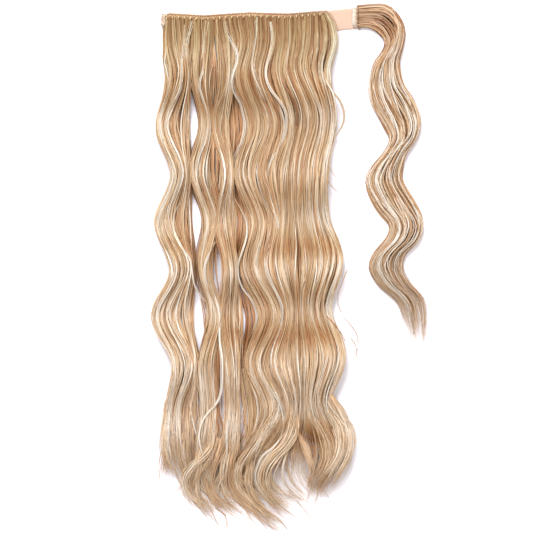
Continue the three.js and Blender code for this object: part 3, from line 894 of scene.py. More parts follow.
def weftRibbons(rows, layer, seed, top, base, placeAcross):
    rng = np.random.default_rng(seed)
    paths = []
    for group in sorted({row[0] for row in rows}):
        near = [row for row in rows if row[0] == group]
        for group, first, last, share in near:
            count = max(1, round((last - first) * hairpiece["weftWidth"] / layer["spacing"]))
            for i in range(count):
                root = first + (i + 0.5 + rng.uniform(-0.3, 0.3)) / count * (last - first)
                length = hairpiece["hairLength"] * share * (1 - rng.uniform(0, 0.035))
                paths.append(ribbon(rng, near, root, length, layer, top, base, placeAcross, group))
    return paths


# Ribbons of pale hair that lie on top: (group, root, half width, tint, length as a share).
paleRibbons = [
    (1, 0.004, 0.7 * mm, 0.85, 0.86),
    (1, 0.03, 0.8 * mm, 0.74, 0.87),
    (1, 0.062, 0.5 * mm, 0.8, 0.88),
    (1, 0.095, 0.8 * mm, 0.8, 0.88),
    (1, 0.132, 0.8 * mm, 0.74, 0.88),
    (1, 0.16, 0.5 * mm, 0.75, 0.86),
    (2, 0.19, 0.5 * mm, 0.72, 0.9),
    (2, 0.235, 0.6 * mm, 0.75, 0.9),
    (2, 0.275, 0.8 * mm, 0.78, 0.9),
    (3, 0.335, 0.7 * mm, 0.8, 0.92),
    (3, 0.375, 0.6 * mm, 0.72, 0.92),
    (3, 0.402, 0.7 * mm, 0.75, 0.92),
    (4, 0.465, 0.5 * mm, 0.72, 0.92),
    (4, 0.515, 0.6 * mm, 0.78, 0.92),
    (4, 0.572, 1.3 * mm, 0.95, 0.76),
    (4, 0.625, 0.6 * mm, 0.76, 0.92),
    (4, 0.68, 0.6 * mm, 0.76, 0.9),
    (4, 0.725, 0.5 * mm, 0.7, 0.88),
    (4, 0.78, 0.6 * mm, 0.74, 0.88),
    (4, 0.83, 0.5 * mm, 0.74, 0.9),
    (4, 0.87, 0.7 * mm, 0.76, 0.9),
    (4, 0.925, 0.6 * mm, 0.78, 0.92),
    (4, 0.965, 0.8 * mm, 0.78, 0.93),
    (4, 0.995, 1 * mm, 0.85, 0.92),
]
paleLayer = {
    "level": 0.98, "weave": 0.2, "strands": 5, "width": 0.95 * mm, "tintRange": 0.06, "tintDrift": 0.16,
    "drift": 0.01, "shift": 0.8 * mm, "thick": 0.45 * mm, "fade": 0.08, "start": 5 * mm, "gleam": 0.4,
}

# Locks laid over the others: half width in millimetres, tint, level in the front weft's
# thickness, and the places they pass in millimetres, across from the weft's left end and down from
# its edge.
laidStreaks = [
    (2.2, 0.9, 1.06, [
        (62, 9), (64, 20), (70, 31), (74, 41), (74, 51), (71, 60), (69, 70), (71, 80), (77, 90),
        (80, 100), (82, 112), (80, 125), (75, 136), (71, 147), (70, 160),
    ]),
    (2.4, 0.8, 1.02, [
        (93, 8), (94, 20), (92, 37), (90, 52), (92, 64), (98, 77), (104, 89), (107, 102),
    ]),
    (1.6, 0.8, 1, [(29, 8), (26, 18), (23, 30), (23, 45), (22, 60)]),
    (1.5, 0.75, 0.99, [(44, 8), (42, 24), (41, 42), (38, 57)]),
    (1.3, 0.72, 0.99, [(126, 8), (126, 25), (124, 42), (122, 58), (125, 72)]),
    (1.3, 0.74, 0.99, [(140, 8), (140, 25), (139, 42), (137, 58)]),
    (1.4, 0.86, 1.04, [
        (107, 9), (109, 25), (107, 40), (103, 54), (103, 67), (108, 79), (116, 89), (122, 100),
        (123, 112), (120, 125), (113, 138), (107, 150), (105, 162), (108, 176),
    ]),
    (0.9, 0.85, 1.04, [
        (22, 12), (21, 30), (19, 50), (19, 68), (17, 79), (12, 88), (7, 97), (5, 108), (6, 119),
        (10, 130), (15, 140), (19, 151), (19, 163), (14, 176), (6, 187),
    ]),
    (0.8, 0.88, 1.04, [
        (38, 30), (41, 45), (41, 57), (38, 67), (37, 76), (40, 86), (44, 98), (45, 112), (43, 128),
        (38, 140), (35, 152), (35, 165), (38, 178),
    ]),
    (0.6, 0.84, 1, [(50, 52), (47, 66), (47, 78), (50, 88)]),
    (0.8, 0.9, 1.05, [(48, 132), (45, 145), (44, 158), (45, 171), (49, 182)]),
    (1.1, 0.88, 1.04, [
        (23, 184), (15, 193), (11, 203), (11, 215), (14, 226), (21, 237), (28, 247), (30, 260),
        (32, 272), (38, 282), (46, 291), (52, 300),
    ]),
    (1, 0.9, 1.05, [
        (72, 186), (79, 198), (84, 210), (84, 224), (80, 238), (76, 250), (76, 263), (80, 275),
        (87, 284), (92, 294), (94, 305), (91, 316), (85, 326),
    ]),
    (1.2, 0.93, 1.05, [(52, 229), (46, 241), (42, 254), (43, 267), (48, 279), (54, 289)]),
    (1.3, 0.9, 1.05, [
        (103, 188), (111, 199), (115, 211), (113, 222), (107, 233), (103, 245), (104, 258),
        (109, 271), (115, 283), (119, 295), (118, 308), (111, 321), (103, 333),
    ]),
    (1.3, 0.93, 1.08, [
        (60, 296), (57, 312), (57, 328), (59, 344), (59, 360), (58, 377), (54, 389), (46, 398),
        (39, 408), (36, 420), (37, 432), (41, 445), (46, 455), (49, 464),
    ]),
    (0.7, 0.85, 1.02, [(72, 284), (71, 298), (74, 311), (79, 325)]),
    (0.9, 0.8, 1.02, [(155, 262), (148, 274), (145, 288), (147, 301), (152, 312)]),
    (0.7, 0.78, 1.02, [(149, 256), (142, 266), (137, 278), (135, 290)]),
    (1.7, 0.95, 1.06, [
        (102, 362), (110, 376), (117, 388), (121, 401), (121, 414), (118, 425), (110, 434),
        (100, 442), (94, 454), (92, 466), (97, 477), (106, 485), (117, 491),
    ]),
    (1.4, 0.86, 1.06, [
        (106, 366), (113, 381), (116, 392), (114, 402), (107, 412), (98, 425), (90, 437),
        (83, 447), (80, 455),
    ]),
    (0.8, 0.82, 1.02, [(84, 362), (90, 375), (94, 388), (95, 402), (92, 415), (86, 427)]),
    (0.9, 0.82, 1.04, [(128, 430), (122, 444), (119, 457), (121, 468), (127, 477), (134, 482)]),
    (0.7, 0.6, 0.5, [
        (162, 26), (159, 38), (157, 52), (160, 66), (168, 78), (176, 87), (181, 99), (180, 111),
        (174, 122), (168, 132), (163, 142),
    ]),
    (1, 0.9, 0.9, [(160, 60), (164, 71), (169, 80), (172, 92), (173, 105), (171, 118), (168, 130)]),
    (0.7, 0.8, 1, [
        (160, 376), (165, 390), (173, 401), (181, 411), (186, 423), (187, 436), (183, 449),
        (177, 460),
    ]),
    (0.6, 0.05, 1.06, [(117, 58), (121, 72), (128, 84), (133, 95), (134, 107), (133, 118), (129, 129)]),
    (0.8, 0.12, 1.02, [(99, 77), (107, 86), (113, 96), (116, 108), (116, 121), (111, 133), (105, 143)]),
    (0.6, 0.12, 1.02, [(30, 76), (34, 85), (40, 94), (43, 104), (43, 116)]),
    (0.9, 0.14, 1.02, [(110, 330), (111, 343), (112, 356), (116, 370)]),
    (0.5, 0.18, 1, [(138, 324), (139, 338), (138, 352), (135, 366)]),
    (0.5, 0.2, 0.9, [(159, 296), (165, 304), (172, 312), (179, 321), (183, 331)]),
    (0.5, 0.2, 0.6, [(38, 286), (40, 298), (41, 309), (42, 322)]),
]
# Hair under the partings, tinted dark: partly its brown colour, partly painted shade of the deep
# partings.
laidFills = [
    (3, 0.3, 0.3, [(50, 32), (51, 50), (51, 65), (50, 80), (49, 95)]),
    (5, 0.46, 0.45, [(80, 355), (82, 370), (85, 385), (87, 400), (87, 414), (84, 427), (79, 439)]),
    (3.5, 0.2, 0.3, [
        (50, 320), (53, 336), (54, 352), (53, 368), (53, 384), (54, 400), (57, 416), (59, 432),
    ]),
    (3.5, 0.3, 0.3, [(51, 118), (52, 132), (52, 146), (52, 160), (53, 172)]),
    (3, 0.2, 0.3, [(50, 160), (52, 175), (55, 190), (56, 205)]),
]
# Ends of the longest locks, which curl and fray over one another.
laidCurls = [
    (5.5, 0.63, 0.6, [(20, 420), (20, 436), (22, 450), (27, 463), (34, 476), (41, 488), (48, 497)]),
    (5.5, 0.61, 0.6, [(38, 430), (38, 446), (40, 460), (44, 474), (52, 487), (62, 497)]),
    (5, 0.45, 0.75, [
        (74, 420), (71, 436), (68, 450), (68, 464), (73, 478), (83, 491), (96, 503), (108, 514),
    ]),
    (4.5, 0.45, 0.8, [
        (58, 425), (54, 441), (49, 455), (46, 468), (49, 481), (59, 491), (72, 498), (85, 504),
    ]),
    (4, 0.61, 0.85, [(84, 438), (77, 450), (74, 463), (77, 476), (86, 489), (99, 501), (112, 511)]),
    (3.6, 0.59, 0.95, [(92, 440), (87, 453), (85, 467), (88, 481), (97, 494), (109, 506), (123, 517)]),
    (4.2, 0.65, 0.95, [
        (49, 415), (48, 430), (40, 443), (30, 452), (23, 462), (22, 473), (28, 484), (40, 494),
        (54, 502),
    ]),
    (3, 0.65, 0.95, [(40, 425), (37, 440), (36, 454), (34, 467), (35, 480), (41, 491), (50, 500)]),
    (3, 0.63, 0.9, [(66, 430), (62, 445), (60, 460), (60, 474), (66, 486), (77, 496)]),
    (6.5, 0.59, 0.95, [
        (129, 392), (131, 406), (130, 419), (124, 431), (114, 442), (106, 454), (104, 466),
        (108, 477), (119, 486), (132, 492), (143, 497),
    ]),
    (3.5, 0.65, 0.9, [
        (120, 420), (113, 432), (104, 444), (97, 456), (96, 468), (102, 480), (113, 489),
        (126, 496),
    ]),
    (4.2, 0.65, 0.95, [
        (115, 382), (115, 395), (111, 406), (103, 417), (94, 428), (86, 439), (80, 450), (78, 463),
    ]),
    (5, 0.65, 0.85, [
        (166, 380), (174, 394), (181, 408), (185, 422), (184, 436), (178, 450), (170, 462),
        (162, 474),
    ]),
    (5, 0.65, 0.95, [
        (160, 385), (167, 400), (174, 413), (177, 427), (175, 441), (168, 454), (161, 466),
        (156, 478),
    ]),
    (5, 0.47, 0.9, [
        (148, 402), (158, 416), (164, 430), (165, 443), (160, 457), (154, 469), (150, 482),
    ]),
    (3, 0.47, 0.9, [(134, 418), (141, 432), (146, 445), (149, 458), (147, 471)]),
    (4, 0.59, 0.6, [(3, 390), (2, 410), (2, 427), (4, 441), (8, 453), (14, 464)]),
]
# Loose hair that fans out thinly round the tips.
laidFrays = [
    (8, 0.51, 0.35, [(8, 424), (9, 438), (12, 450), (18, 460), (25, 468)]),
    (9, 0.57, 0.4, [(28, 436), (28, 450), (31, 464), (38, 478), (47, 491), (57, 502)]),
    (6, 0.53, 0.4, [(22, 448), (23, 462), (27, 474), (33, 486), (38, 496)]),
    (8, 0.43, 0.35, [(60, 444), (60, 458), (64, 471), (72, 483), (84, 494), (98, 505)]),
    (7, 0.51, 0.35, [(74, 458), (77, 472), (86, 486), (99, 499), (112, 511), (122, 519)]),
    (8, 0.61, 0.4, [(98, 450), (99, 464), (106, 477), (118, 487), (132, 494)]),
    (8, 0.71, 0.35, [(116, 440), (117, 454), (121, 467), (130, 478), (142, 487), (152, 493)]),
    (9, 0.67, 0.35, [(136, 426), (134, 440), (135, 454), (139, 466), (147, 476), (155, 483)]),
    (7, 0.53, 0.4, [(152, 432), (154, 446), (153, 460), (149, 473), (148, 487)]),
    (7, 0.56, 0.4, [(172, 426), (174, 440), (170, 453), (164, 465), (160, 476), (163, 486)]),
    (4, 0.51, 0.35, [(182, 424), (183, 437), (179, 450), (172, 462), (165, 472)]),
    (5, 0.55, 0.95, [(52, 430), (44, 446), (35, 460), (28, 472), (24, 483), (23, 492)]),
    (5, 0.58, 0.95, [(33, 438), (40, 452), (47, 466), (52, 480), (60, 492), (70, 500)]),
    (4, 0.62, 0.9, [(68, 446), (60, 460), (53, 473), (50, 486), (53, 498)]),
    (4, 0.5, 0.95, [(68, 452), (78, 466), (90, 478), (103, 488), (114, 496)]),
    (4, 0.62, 0.9, [(112, 446), (106, 460), (103, 473), (107, 486), (117, 496), (128, 503)]),
    (5, 0.5, 0.9, [(176, 432), (170, 446), (160, 458), (152, 470), (148, 482)]),
    (4, 0.45, 0.5, [(4, 430), (3, 444), (1, 456), (0, 466)]),
]
# Single hairs that stand away from the sides and the tips.
laidWisps = [
    (0.5, 0.5, 0.4, [(163, 145), (168, 158), (176, 168), (186, 176), (190, 184)]),
    (0.4, 0.4, 0.4, [(165, 168), (171, 176), (178, 181)]),
    (0.3, 0.3, 0.3, [
        (184, 257), (179, 269), (175, 281), (176, 293), (181, 303), (188, 312), (194, 321),
        (195, 335), (190, 346), (184, 352),
    ]),
    (0.3, 0.3, 0.3, [(188, 325), (193, 333), (193, 343), (188, 350)]),
    (0.5, 0.6, 0.5, [(165, 385), (172, 397), (181, 405), (189, 411), (194, 418)]),
    (0.5, 0.6, 0.4, [(182, 402), (190, 413), (193, 426), (189, 441), (183, 453), (176, 464)]),
    (0.6, 0.5, 0.4, [(186, 436), (183, 450), (176, 462), (167, 474)]),
    (0.4, 0.35, 0.4, [(160, 466), (161, 477), (168, 488)]),
    (0.5, 0.5, 0.4, [(154, 468), (155, 480), (152, 490), (149, 496)]),
    (0.5, 0.6, 0.4, [(2, 415), (0, 432), (-3, 445), (-4, 458)]),
    (0.3, 0.4, 0.3, [(0, 432), (-4, 450), (-4, 463), (-3, 475)]),
    (0.4, 0.4, 0.3, [(21, 462), (17, 474), (9, 481), (0, 488)]),
    (0.6, 0.4, 0.4, [(24, 470), (27, 480), (31, 489)]),
    (0.8, 0.45, 0.4, [(36, 486), (41, 497), (50, 506), (56, 513)]),
    (0.5, 0.5, 0.3, [(52, 495), (61, 501), (64, 509), (63, 521)]),
    (0.8, 0.5, 0.4, [(92, 500), (104, 511), (116, 518), (124, 520)]),
    (0.5, 0.35, 0.4, [(114, 506), (121, 512), (125, 519)]),
    (0.6, 0.5, 0.4, [(134, 488), (142, 497), (148, 506)]),
    (0.6, 0.5, 0.4, [(126, 478), (133, 484), (141, 488)]),
    (0.4, 0.5, 0.4, [(44, 488), (49, 499), (55, 511), (59, 516)]),
    (0.4, 0.5, 0.4, [(28, 478), (32, 490), (39, 499), (46, 507)]),
    (0.5, 0.6, 0.4, [(84, 492), (94, 504), (103, 515), (110, 521)]),
    (0.5, 0.65, 0.4, [(108, 484), (117, 493), (127, 500), (135, 507)]),
    (0.4, 0.5, 0.4, [(166, 452), (162, 464), (158, 476), (159, 488)]),
    (0.4, 0.5, 0.4, [(150, 470), (146, 482), (143, 492)]),
    (0.4, 0.5, 0.4, [(12, 452), (14, 464), (20, 474), (27, 482)]),
]


# How the laid hair runs: each row rises from the hair where it starts and sinks back at its end.
laidWay = {
    "step": 5 * mm,
    "ease": 24 * mm,  # stretch over which a lock rises or sinks
    "fromEdge": 14,  # locks that start above this depth, in millimetres, come from the sewn edge
    "tailLift": 2 * mm,
    "middleTint": 0.48,
    "depthLead": 0.06,
}


def laidPath(rng, fray, half, tint, level, places):
    rows = np.array(places) * mm
    spots = through(rows, np.linspace(0, len(rows) - 1, 12 * len(rows)))
    travel = np.concatenate([[0], np.cumsum(np.hypot(*np.diff(spots, axis=0).T))])
    way = np.linspace(0, travel[-1], max(5, int(travel[-1] / laidWay["step"])))
    x, depth = (np.interp(way, travel, spots[:, column]) for column in (0, 1))
    lag = crestDelay(x / hairpiece["weftWidth"], depth)
    start = smooth(way, 0, laidWay["ease"]) if places[0][1] > laidWay["fromEdge"] else 1
    ends = start * (1 - smooth(way, travel[-1] - laidWay["ease"], travel[-1]))
    inside = smooth(np.minimum(x + 8 * mm, 190 * mm - x), 0, 16 * mm)
    low = backTop(depth)
    rise = level * (0.5 + 0.5 * ends) * (0.6 + 0.4 * inside)
    tail = smooth(way / travel[-1], 0.7, 1)
    z = low + rise * (frontTop(depth - lag) - low) + fray * laidWay["tailLift"] * tail
    pinch = 1 + 0.25 * wander(rng, way, 90 * mm)
    strength = 0.9 * (tint - laidWay["middleTint"]) * ends
    turn = way / (100 * mm) * rng.uniform(-1.5, 1.5)
    return {
        "points": np.stack([x, -depth, np.maximum(z, 1 * mm)], 1),
        "spread": half * mm * (0.7 + 0.5 * ends) * pinch * (1 + fray * tail),
        "thick": min(0.5 * half, 1.2) * mm,
        "turn": turn,
        "tint": laidWay["middleTint"] + strength + 0.05 * wander(rng, way, 80 * mm),
        # Frayed ends get a painted highlight that brightens them.
        "gleam": min(0.2 * fray, 0.2),
        "depth": laidWay["depthLead"] + depth / hairpiece["hairLength"],
    }


# Kinds of laid hair: rows, fray, then strands in each row, their width, tint spread, frizz and
# raggedness.
laidKinds = (
    (laidStreaks, 0, 7, 0.8 * mm, 0.12, 0.4 * mm, 0.1),
    (laidFills, 0.2, 20, 1.4 * mm, 0.15, 0.6 * mm, 0.1),
    (laidCurls, 1.4, 36, 0.85 * mm, 0.2, 2.6 * mm, 0.5),
    (laidFrays, 0.8, 34, 0.45 * mm, 0.15, 4.5 * mm, 0.5),
    (laidWisps, 0.6, 4, 0.4 * mm, 0.2, 1.6 * mm, 0.1),
)


def laidHair():
    parts = []
    for number, (table, fray, count, width, spread, frizz, raggedness) in enumerate(laidKinds):
        rng = np.random.default_rng(900 + number)
        paths = [laidPath(rng, fray, *row) for row in table]
        parts.append(grow(
            pathObject(f"laid_{number}", paths), strands, Strands=count, Strand_Width=width,
            Tint_Spread=spread, Frizz=frizz, Raggedness=raggedness, Seed=910 + number,
            Material=frontHairFinish,
        ))
    return joined("front_hair_laid", parts)


def paleStrands(rows, seed, top, base):
    rng = np.random.default_rng(seed)
    paths = []
    for group, root, half, tint, share in paleRibbons:
        near = [row for row in rows if row[0] == group]
        if near and near[0][1] <= root <= near[-1][2]:
            layer = {**paleLayer, "spread": half, "tint": tint}
            length = hairpiece["hairLength"] * share
            paths.append(ribbon(rng, near, root, length, layer, top, base, strandX, group))
    return paths


# Looseness and colours of the strands in the wefts' ribbons, and in the pale ones on top.
weftLook = {"Frizz": 1.2 * mm, "Raggedness": 0.14, "Tint_Spread": 0.17}
paleLook = {"Frizz": 0.8 * mm, "Raggedness": 0.12, "Tint_Spread": 0.15}


def weftHair(name, locks, layers, seed, top, base, placeAcross, finish):
    parts = []
    for i, layer in enumerate(layers):
        paths = weftRibbons(locks, layer, seed + i, top, base, placeAcross)
        parts.append(grow(
            pathObject(f"{name}_{i}", paths), strands, Strands=layer["strands"],
            Strand_Width=layer["width"], Side_Shade=layer["shade"], Seed=seed * 10 + i,
            Material=finish, **weftLook,
        ))
    if placeAcross is not strandX:
        return joined(name, parts)
    parts.append(grow(
        pathObject(f"{name}_pale", paleStrands(locks, seed + 50, top, base)), strands,
        Strands=paleLayer["strands"], Strand_Width=paleLayer["width"], Seed=seed * 10 + 7,
        Material=finish, **paleLook,
    ))
    return joined(name, parts)


def zeroBase(depth):
    return np.zeros_like(depth)


# The front hair comes in pieces by its groups, and a wide group in two halves.
for number, members in enumerate(((1, 2), (3,), (4,))):
    locks = [row for row in frontLocks if row[0] in members]
    halves = [locks] if len(locks) < 6 else [locks[:4], locks[4:]]
    for part, rows in enumerate(halves):
        name = f"front_hair_{number + 1}{'ab'[part]}"
        seed = 100 * number + 10 * part + 1
        piece = weftHair(name, rows, frontLayers, seed, frontTop, backTop, strandX, frontHairFinish)
        finished(piece, "front_hair", "front_weft")
finished(laidHair(), "front_hair", "front_weft")
backHair = weftHair(
    "back_hair_strands", backLocks, backLayers, 501, backTop, zeroBase, backX, shadedBackHairFinish
)
finished(backHair, "back_hair", "back_weft")

# The wrap: its stitched edge over the band's free end, and sections across its hair down to the tip.
# A section's columns are its inner end's reach and fall and its outer end's, as shares.
wrap = {
    "strap": 26 * mm,
    "strapRise": 2.6 * mm,
    "edgeWidth": 4.4 * mm,
    "reach": 63 * mm,
    "fall": 329 * mm,
    "bulk": 9.5 * mm,
    "level": 1.5 * mm,
    "edgeThickness": 2.2 * mm,
}
wrapSections = np.array([
    (0.029, 0.028, 0.029, -0.036),
    (0.171, 0.026, 0.235, -0.04),
    (0.33, 0.037, 0.489, -0.039),
    (0.441, 0.058, 0.679, -0.012),
    (0.481, 0.08, 0.783, 0.034),
    (0.425, 0.107, 0.759, 0.086),
    (0.298, 0.143, 0.703, 0.134),
    (0.219, 0.207, 0.775, 0.201),
    (0.267, 0.265, 0.949, 0.253),
    (0.457, 0.323, 1.044, 0.311),
    (0.552, 0.365, 0.981, 0.365),
    (0.457, 0.408, 0.822, 0.408),
    (0.251, 0.457, 0.759, 0.457),
    (0.171, 0.505, 0.775, 0.499),
    (0.314, 0.569, 0.965, 0.566),
    (0.544, 0.627, 1.092, 0.627),
    (0.489, 0.675, 1.013, 0.675),
    (0.267, 0.724, 0.79, 0.718),
    (0.219, 0.764, 0.759, 0.764),
    (0.362, 0.809, 0.902, 0.812),
    (0.648, 0.858, 1.108, 0.858),
    (0.76, 0.912, 1.14, 0.912),
    (0.81, 0.955, 1.13, 0.955),
    (0.83, 0.998, 1.13, 0.998),
])
bandTop = float(edgeY(1)) - hairpiece["bandDrop"] + wrap["strapRise"]
wrapStart = np.array([
    hairpiece["weftWidth"] + wrap["strap"] + wrap["edgeWidth"] / 2,
    bandTop - hairpiece["bandHeight"] / 2,
])


# Layers of the wrap's ribbons, from the floor up, the lower ones tinted darker as painted shade of
# the hair above them. Their spread is a share of the wrap's width.
wrapLayers = [
    {"level": 0.14, "ribbons": 5, "strands": 8, "width": 2.6 * mm, "tint": 0.32, "spread": 0.14,
     "shade": 0.1},
    {"level": 0.34, "ribbons": 6, "strands": 10, "width": 1.8 * mm, "tint": 0.36, "spread": 0.13,
     "shade": 0.1},
    {"level": 0.6, "ribbons": 7, "strands": 9, "width": 1.3 * mm, "tint": 0.43, "spread": 0.1,
     "shade": 0.25},
    {"level": 0.86, "ribbons": 7, "strands": 13, "width": 0.95 * mm, "tint": 0.5, "spread": 0.075,
     "shade": 0.4},
    {"level": 1, "ribbons": 13, "strands": 4, "width": 0.8 * mm, "tint": 0.82, "spread": 0.012,
     "shade": 0},
]
# Ribbons of the wrap that sweep across the others: (from share, to share, sections between, tint).
wrapSweeps = [
    (0.95, 0.12, (2, 6.5), 0.5),
    (0.8, 0.04, (2.2, 6.2), 0.56),
    (0.9, 0.3, (2, 6.8), 0.84),
    (0.7, 0.2, (2.4, 6.4), 0.4),
    (0.3, 0.62, (8, 11), 0.42),
    (0.72, 0.25, (9.2, 12), 0.86),
    (0.5, 0.12, (9.4, 11.8), 0.46),
    (0.02, 0.3, (12.6, 15), 0.85),
    (0.45, 0.08, (15, 17.4), 0.5),
]


# How a ribbon of the wrap lies.
wrapWay = {
    "samples": 500,
    "step": 5.5 * mm,
    "tailFrom": 0.86,
    "plumpTo": 40 * mm,  # stretch over which the hair fills out from its sewn edge
    "slimness": 0.42,  # height of a narrow stretch as a share of its width
    "edgeDrop": 0.65,
    "rootTint": -0.34,
    "rootTintTo": 90 * mm,
    "tailTint": 0.22,
}


# A ribbon of the wrap, whose share across its sections is given for each section.
def wrapRibbon(rng, shareAt, layer, tint, length):
    place = np.linspace(0, len(wrapSections) - 1, wrapWay["samples"])
    rows = through(wrapSections, place)
    shares = shareAt(place)[:, None]
    spots = rows[:, :2] * (1 - shares) + rows[:, 2:] * shares
    spots = wrapStart + spots * np.array([wrap["reach"], -wrap["fall"]])
    gap = (rows[:, 2:] - rows[:, :2]) * np.array([wrap["reach"], wrap["fall"]])
    travel = np.concatenate([[0], np.cumsum(np.hypot(*np.diff(spots, axis=0).T))])
    way = np.linspace(0, travel[-1] * length, int(travel[-1] * length / wrapWay["step"]))
    columns = (spots[:, 0], spots[:, 1], np.hypot(*gap.T), shares[:, 0])
    x, y, width, across = (np.interp(way, travel, column) for column in columns)
    plump = smooth(way, 4 * mm, wrapWay["plumpTo"])
    tail = smooth(way / travel[-1], wrapWay["tailFrom"], 1)
    height = np.minimum(wrap["bulk"], width * wrapWay["slimness"])
    height = wrap["edgeThickness"] * (1 - plump) + height * plump
    arch = np.sin(np.pi * np.clip(across, 0.02, 0.98)) ** 0.7
    crown = 1 - plump * wrapWay["edgeDrop"] * (1 - arch)
    base = wrap["level"] * (1 - smooth(way, 1.5 * wrap["edgeWidth"], 4 * wrap["edgeWidth"]))
    level = layer["level"] + 0.08 * wander(rng, way, 90 * mm) * plump
    z = base + np.maximum(level * height * crown, layer["width"] / 2)
    pinch = 0.85 + 0.2 * wander(rng, way, 110 * mm) + 0.5 * tail
    turn = way / travel[-1] * rng.uniform(-3, 3)
    tint = tint + 0.08 * wander(rng, way, 120 * mm) + wrapWay["tailTint"] * tail
    tint = tint + wrapWay["rootTint"] * (1 - smooth(way, 25 * mm, wrapWay["rootTintTo"]))
    thin = (0.4 + 0.6 * plump) * np.minimum(1, width / (14 * mm))
    return {
        "points": np.stack([x, y, z], 1),
        "spread": layer["spread"] * np.minimum(width, 36 * mm) * pinch,
        "thick": layer.get("thick", 1.1 * mm) * thin,
        "turn": turn,
        "tint": tint,
        "depth": 0.1 + way / travel[-1] * 0.8,
    }


def wrapRibbons(layer, seed):
    rng = np.random.default_rng(seed)
    paths = []
    for i in range(layer["ribbons"]):
        share = (i + 0.5 + rng.uniform(-0.25, 0.25)) / layer["ribbons"]
        phase = rng.uniform(0, 2 * np.pi)
        edge = 0.02 + layer["spread"] * 0.6

        def shareAt(place, share=share, phase=phase, edge=edge):
            sway = 0.06 * np.sin(place * 0.9 + phase) * smooth(place, 0, 4)
            return np.clip(share + sway, edge, 1 - edge)

        tint = layer["tint"] + rng.uniform(-0.12, 0.12)
        paths.append(wrapRibbon(rng, shareAt, layer, tint, 1 - rng.uniform(0, 0.07)))
    return paths


def sweepRibbons(seed):
    rng = np.random.default_rng(seed)
    layer = {"level": 1.06, "spread": 0.035, "width": 0.85 * mm, "thick": 0.6 * mm}
    paths = []
    for start, end, (first, last), tint in wrapSweeps:
        def shareAt(place, start=start, end=end, first=first, last=last):
            return start + (end - start) * smooth(place, first, last)

        paths.append(wrapRibbon(rng, shareAt, layer, tint, 1 - rng.uniform(0, 0.06)))
    return paths


wrapLook = {"Frizz": 1.3 * mm, "Raggedness": 0.16, "Tint_Spread": 0.2}


def wrapHair():
    sweeps = {"strands": 6, "width": 0.85 * mm, "shade": 0.15}
    rows = [(layer, wrapRibbons(layer, 70 + i)) for i, layer in enumerate(wrapLayers)]
    parts = []
    for i, (layer, paths) in enumerate([*rows, (sweeps, sweepRibbons(79))]):
        parts.append(grow(
            pathObject(f"wrap_hair_{i}", paths), strands, Strands=layer["strands"],
            Strand_Width=layer["width"], Side_Shade=layer["shade"], Seed=700 + i,
            Material=wrapHairFinish, **wrapLook,
        ))
    return joined("wrap_hair_strands", parts)


finished(wrapHair(), "wrap_hair", "wrap_weft")


def objectPlace(tree):
    return put(tree, "ShaderNodeTexCoord").outputs["Object"]


# Cloth of the band: a fine loop weave over broader blotches.
def bandFinish():
    material, tree, shader = newMaterial("flesh coloured loop band", 0.85)
    place = objectPlace(tree)
    waves = {"Vector": place, "Scale": 320.0, "Distortion": 1.5, "Detail": 1.0}
    ribs = result(put(tree, "ShaderNodeTexWave", waves, bands_direction="Y"), "Fac")
    height = plus(tree, times(tree, noise(tree, place, 900.0, 2.0), 0.7), times(tree, ribs, 0.3))
    blotches = times(tree, noise(tree, place, 60.0, 2.0), 0.65)
    # The weave is paler where it stands higher and darker in its hollows, painted light and shade, over
    # random blotches of tone.
    tone = plus(tree, times(tree, height, 0.35), blotches)
    colour = mixed(tree, tone, (0.5, 0.33, 0.235, 1), (0.66, 0.465, 0.36, 1))
    tree.links.new(colour, shader.inputs["Base Color"])
    addBump(tree, shader, height, 0.5, 0.2 * mm)
    shader.inputs["Sheen Weight"].default_value = 0.25
    return material


def meshPiece(name, points, faces, material):
    mesh = bpy.data.meshes.new(name)
    mesh.from_pydata([tuple(p) for p in np.array(points) + np.array(origin)], [], faces)
    mesh.polygons.foreach_set("use_smooth", [True] * len(mesh.polygons))
    mesh.materials.append(material)
    piece = bpy.data.objects.new(name, mesh)
    bpy.context.scene.collection.objects.link(piece)
    return piece


# A closed skin over rings of points, with its two ends capped.
def skin(rings):
    count = len(rings[0])
    faces = []
    for i in range(len(rings) - 1):
        for j in range(count):
            k = (j + 1) % count
            faces.append((i * count + j, i * count + k, (i + 1) * count + k, (i + 1) * count + j))
    faces.append(tuple(range(count - 1, -1, -1)))
    faces.append(tuple((len(rings) - 1) * count + j for j in range(count)))
    return np.concatenate(rings), faces


band = {"edgeRound": 0.5 * mm, "stations": 90, "wave": 0.15 * mm}


def bandPiece():
    start = hairpiece["bindingCover"]
    end = wrapStart[0] + wrap["edgeWidth"] / 2 - 1 * mm
    rings = []
    for x in np.linspace(start, end, band["stations"]):
        along = min(x / hairpiece["weftWidth"], 1)
        climb = np.clip((x - hairpiece["weftWidth"]) / (end - hairpiece["weftWidth"]), 0, 1)
        top = float(edgeY(along)) - hairpiece["bandDrop"] + climb * wrap["strapRise"]
        ripple = band["wave"] * np.sin(x / (7 * mm))
        low, high = top - hairpiece["bandHeight"] + ripple, top + ripple * 0.5
        r, t = band["edgeRound"], hairpiece["bandThickness"]
        inner = np.linspace(low + 1.5 * r, high - 1.5 * r, 9)
        ring = [(x, y, 0) for y in inner]
        ring += [(x, high - 0.4 * r, 0.15 * t), (x, high, 0.5 * t), (x, high - 0.4 * r, 0.85 * t)]
        ring += [(x, y, t * (1 + 0.05 * np.sin(y / (2 * mm)))) for y in inner[::-1]]
        ring += [(x, low + 0.4 * r, 0.85 * t), (x, low, 0.5 * t), (x, low + 0.4 * r, 0.15 * t)]
        rings.append(np.array(ring)[::-1])
    return meshPiece("band_cloth", *skin(rings), bandFinish())


finished(bandPiece(), "band_cloth", "fastening_band")

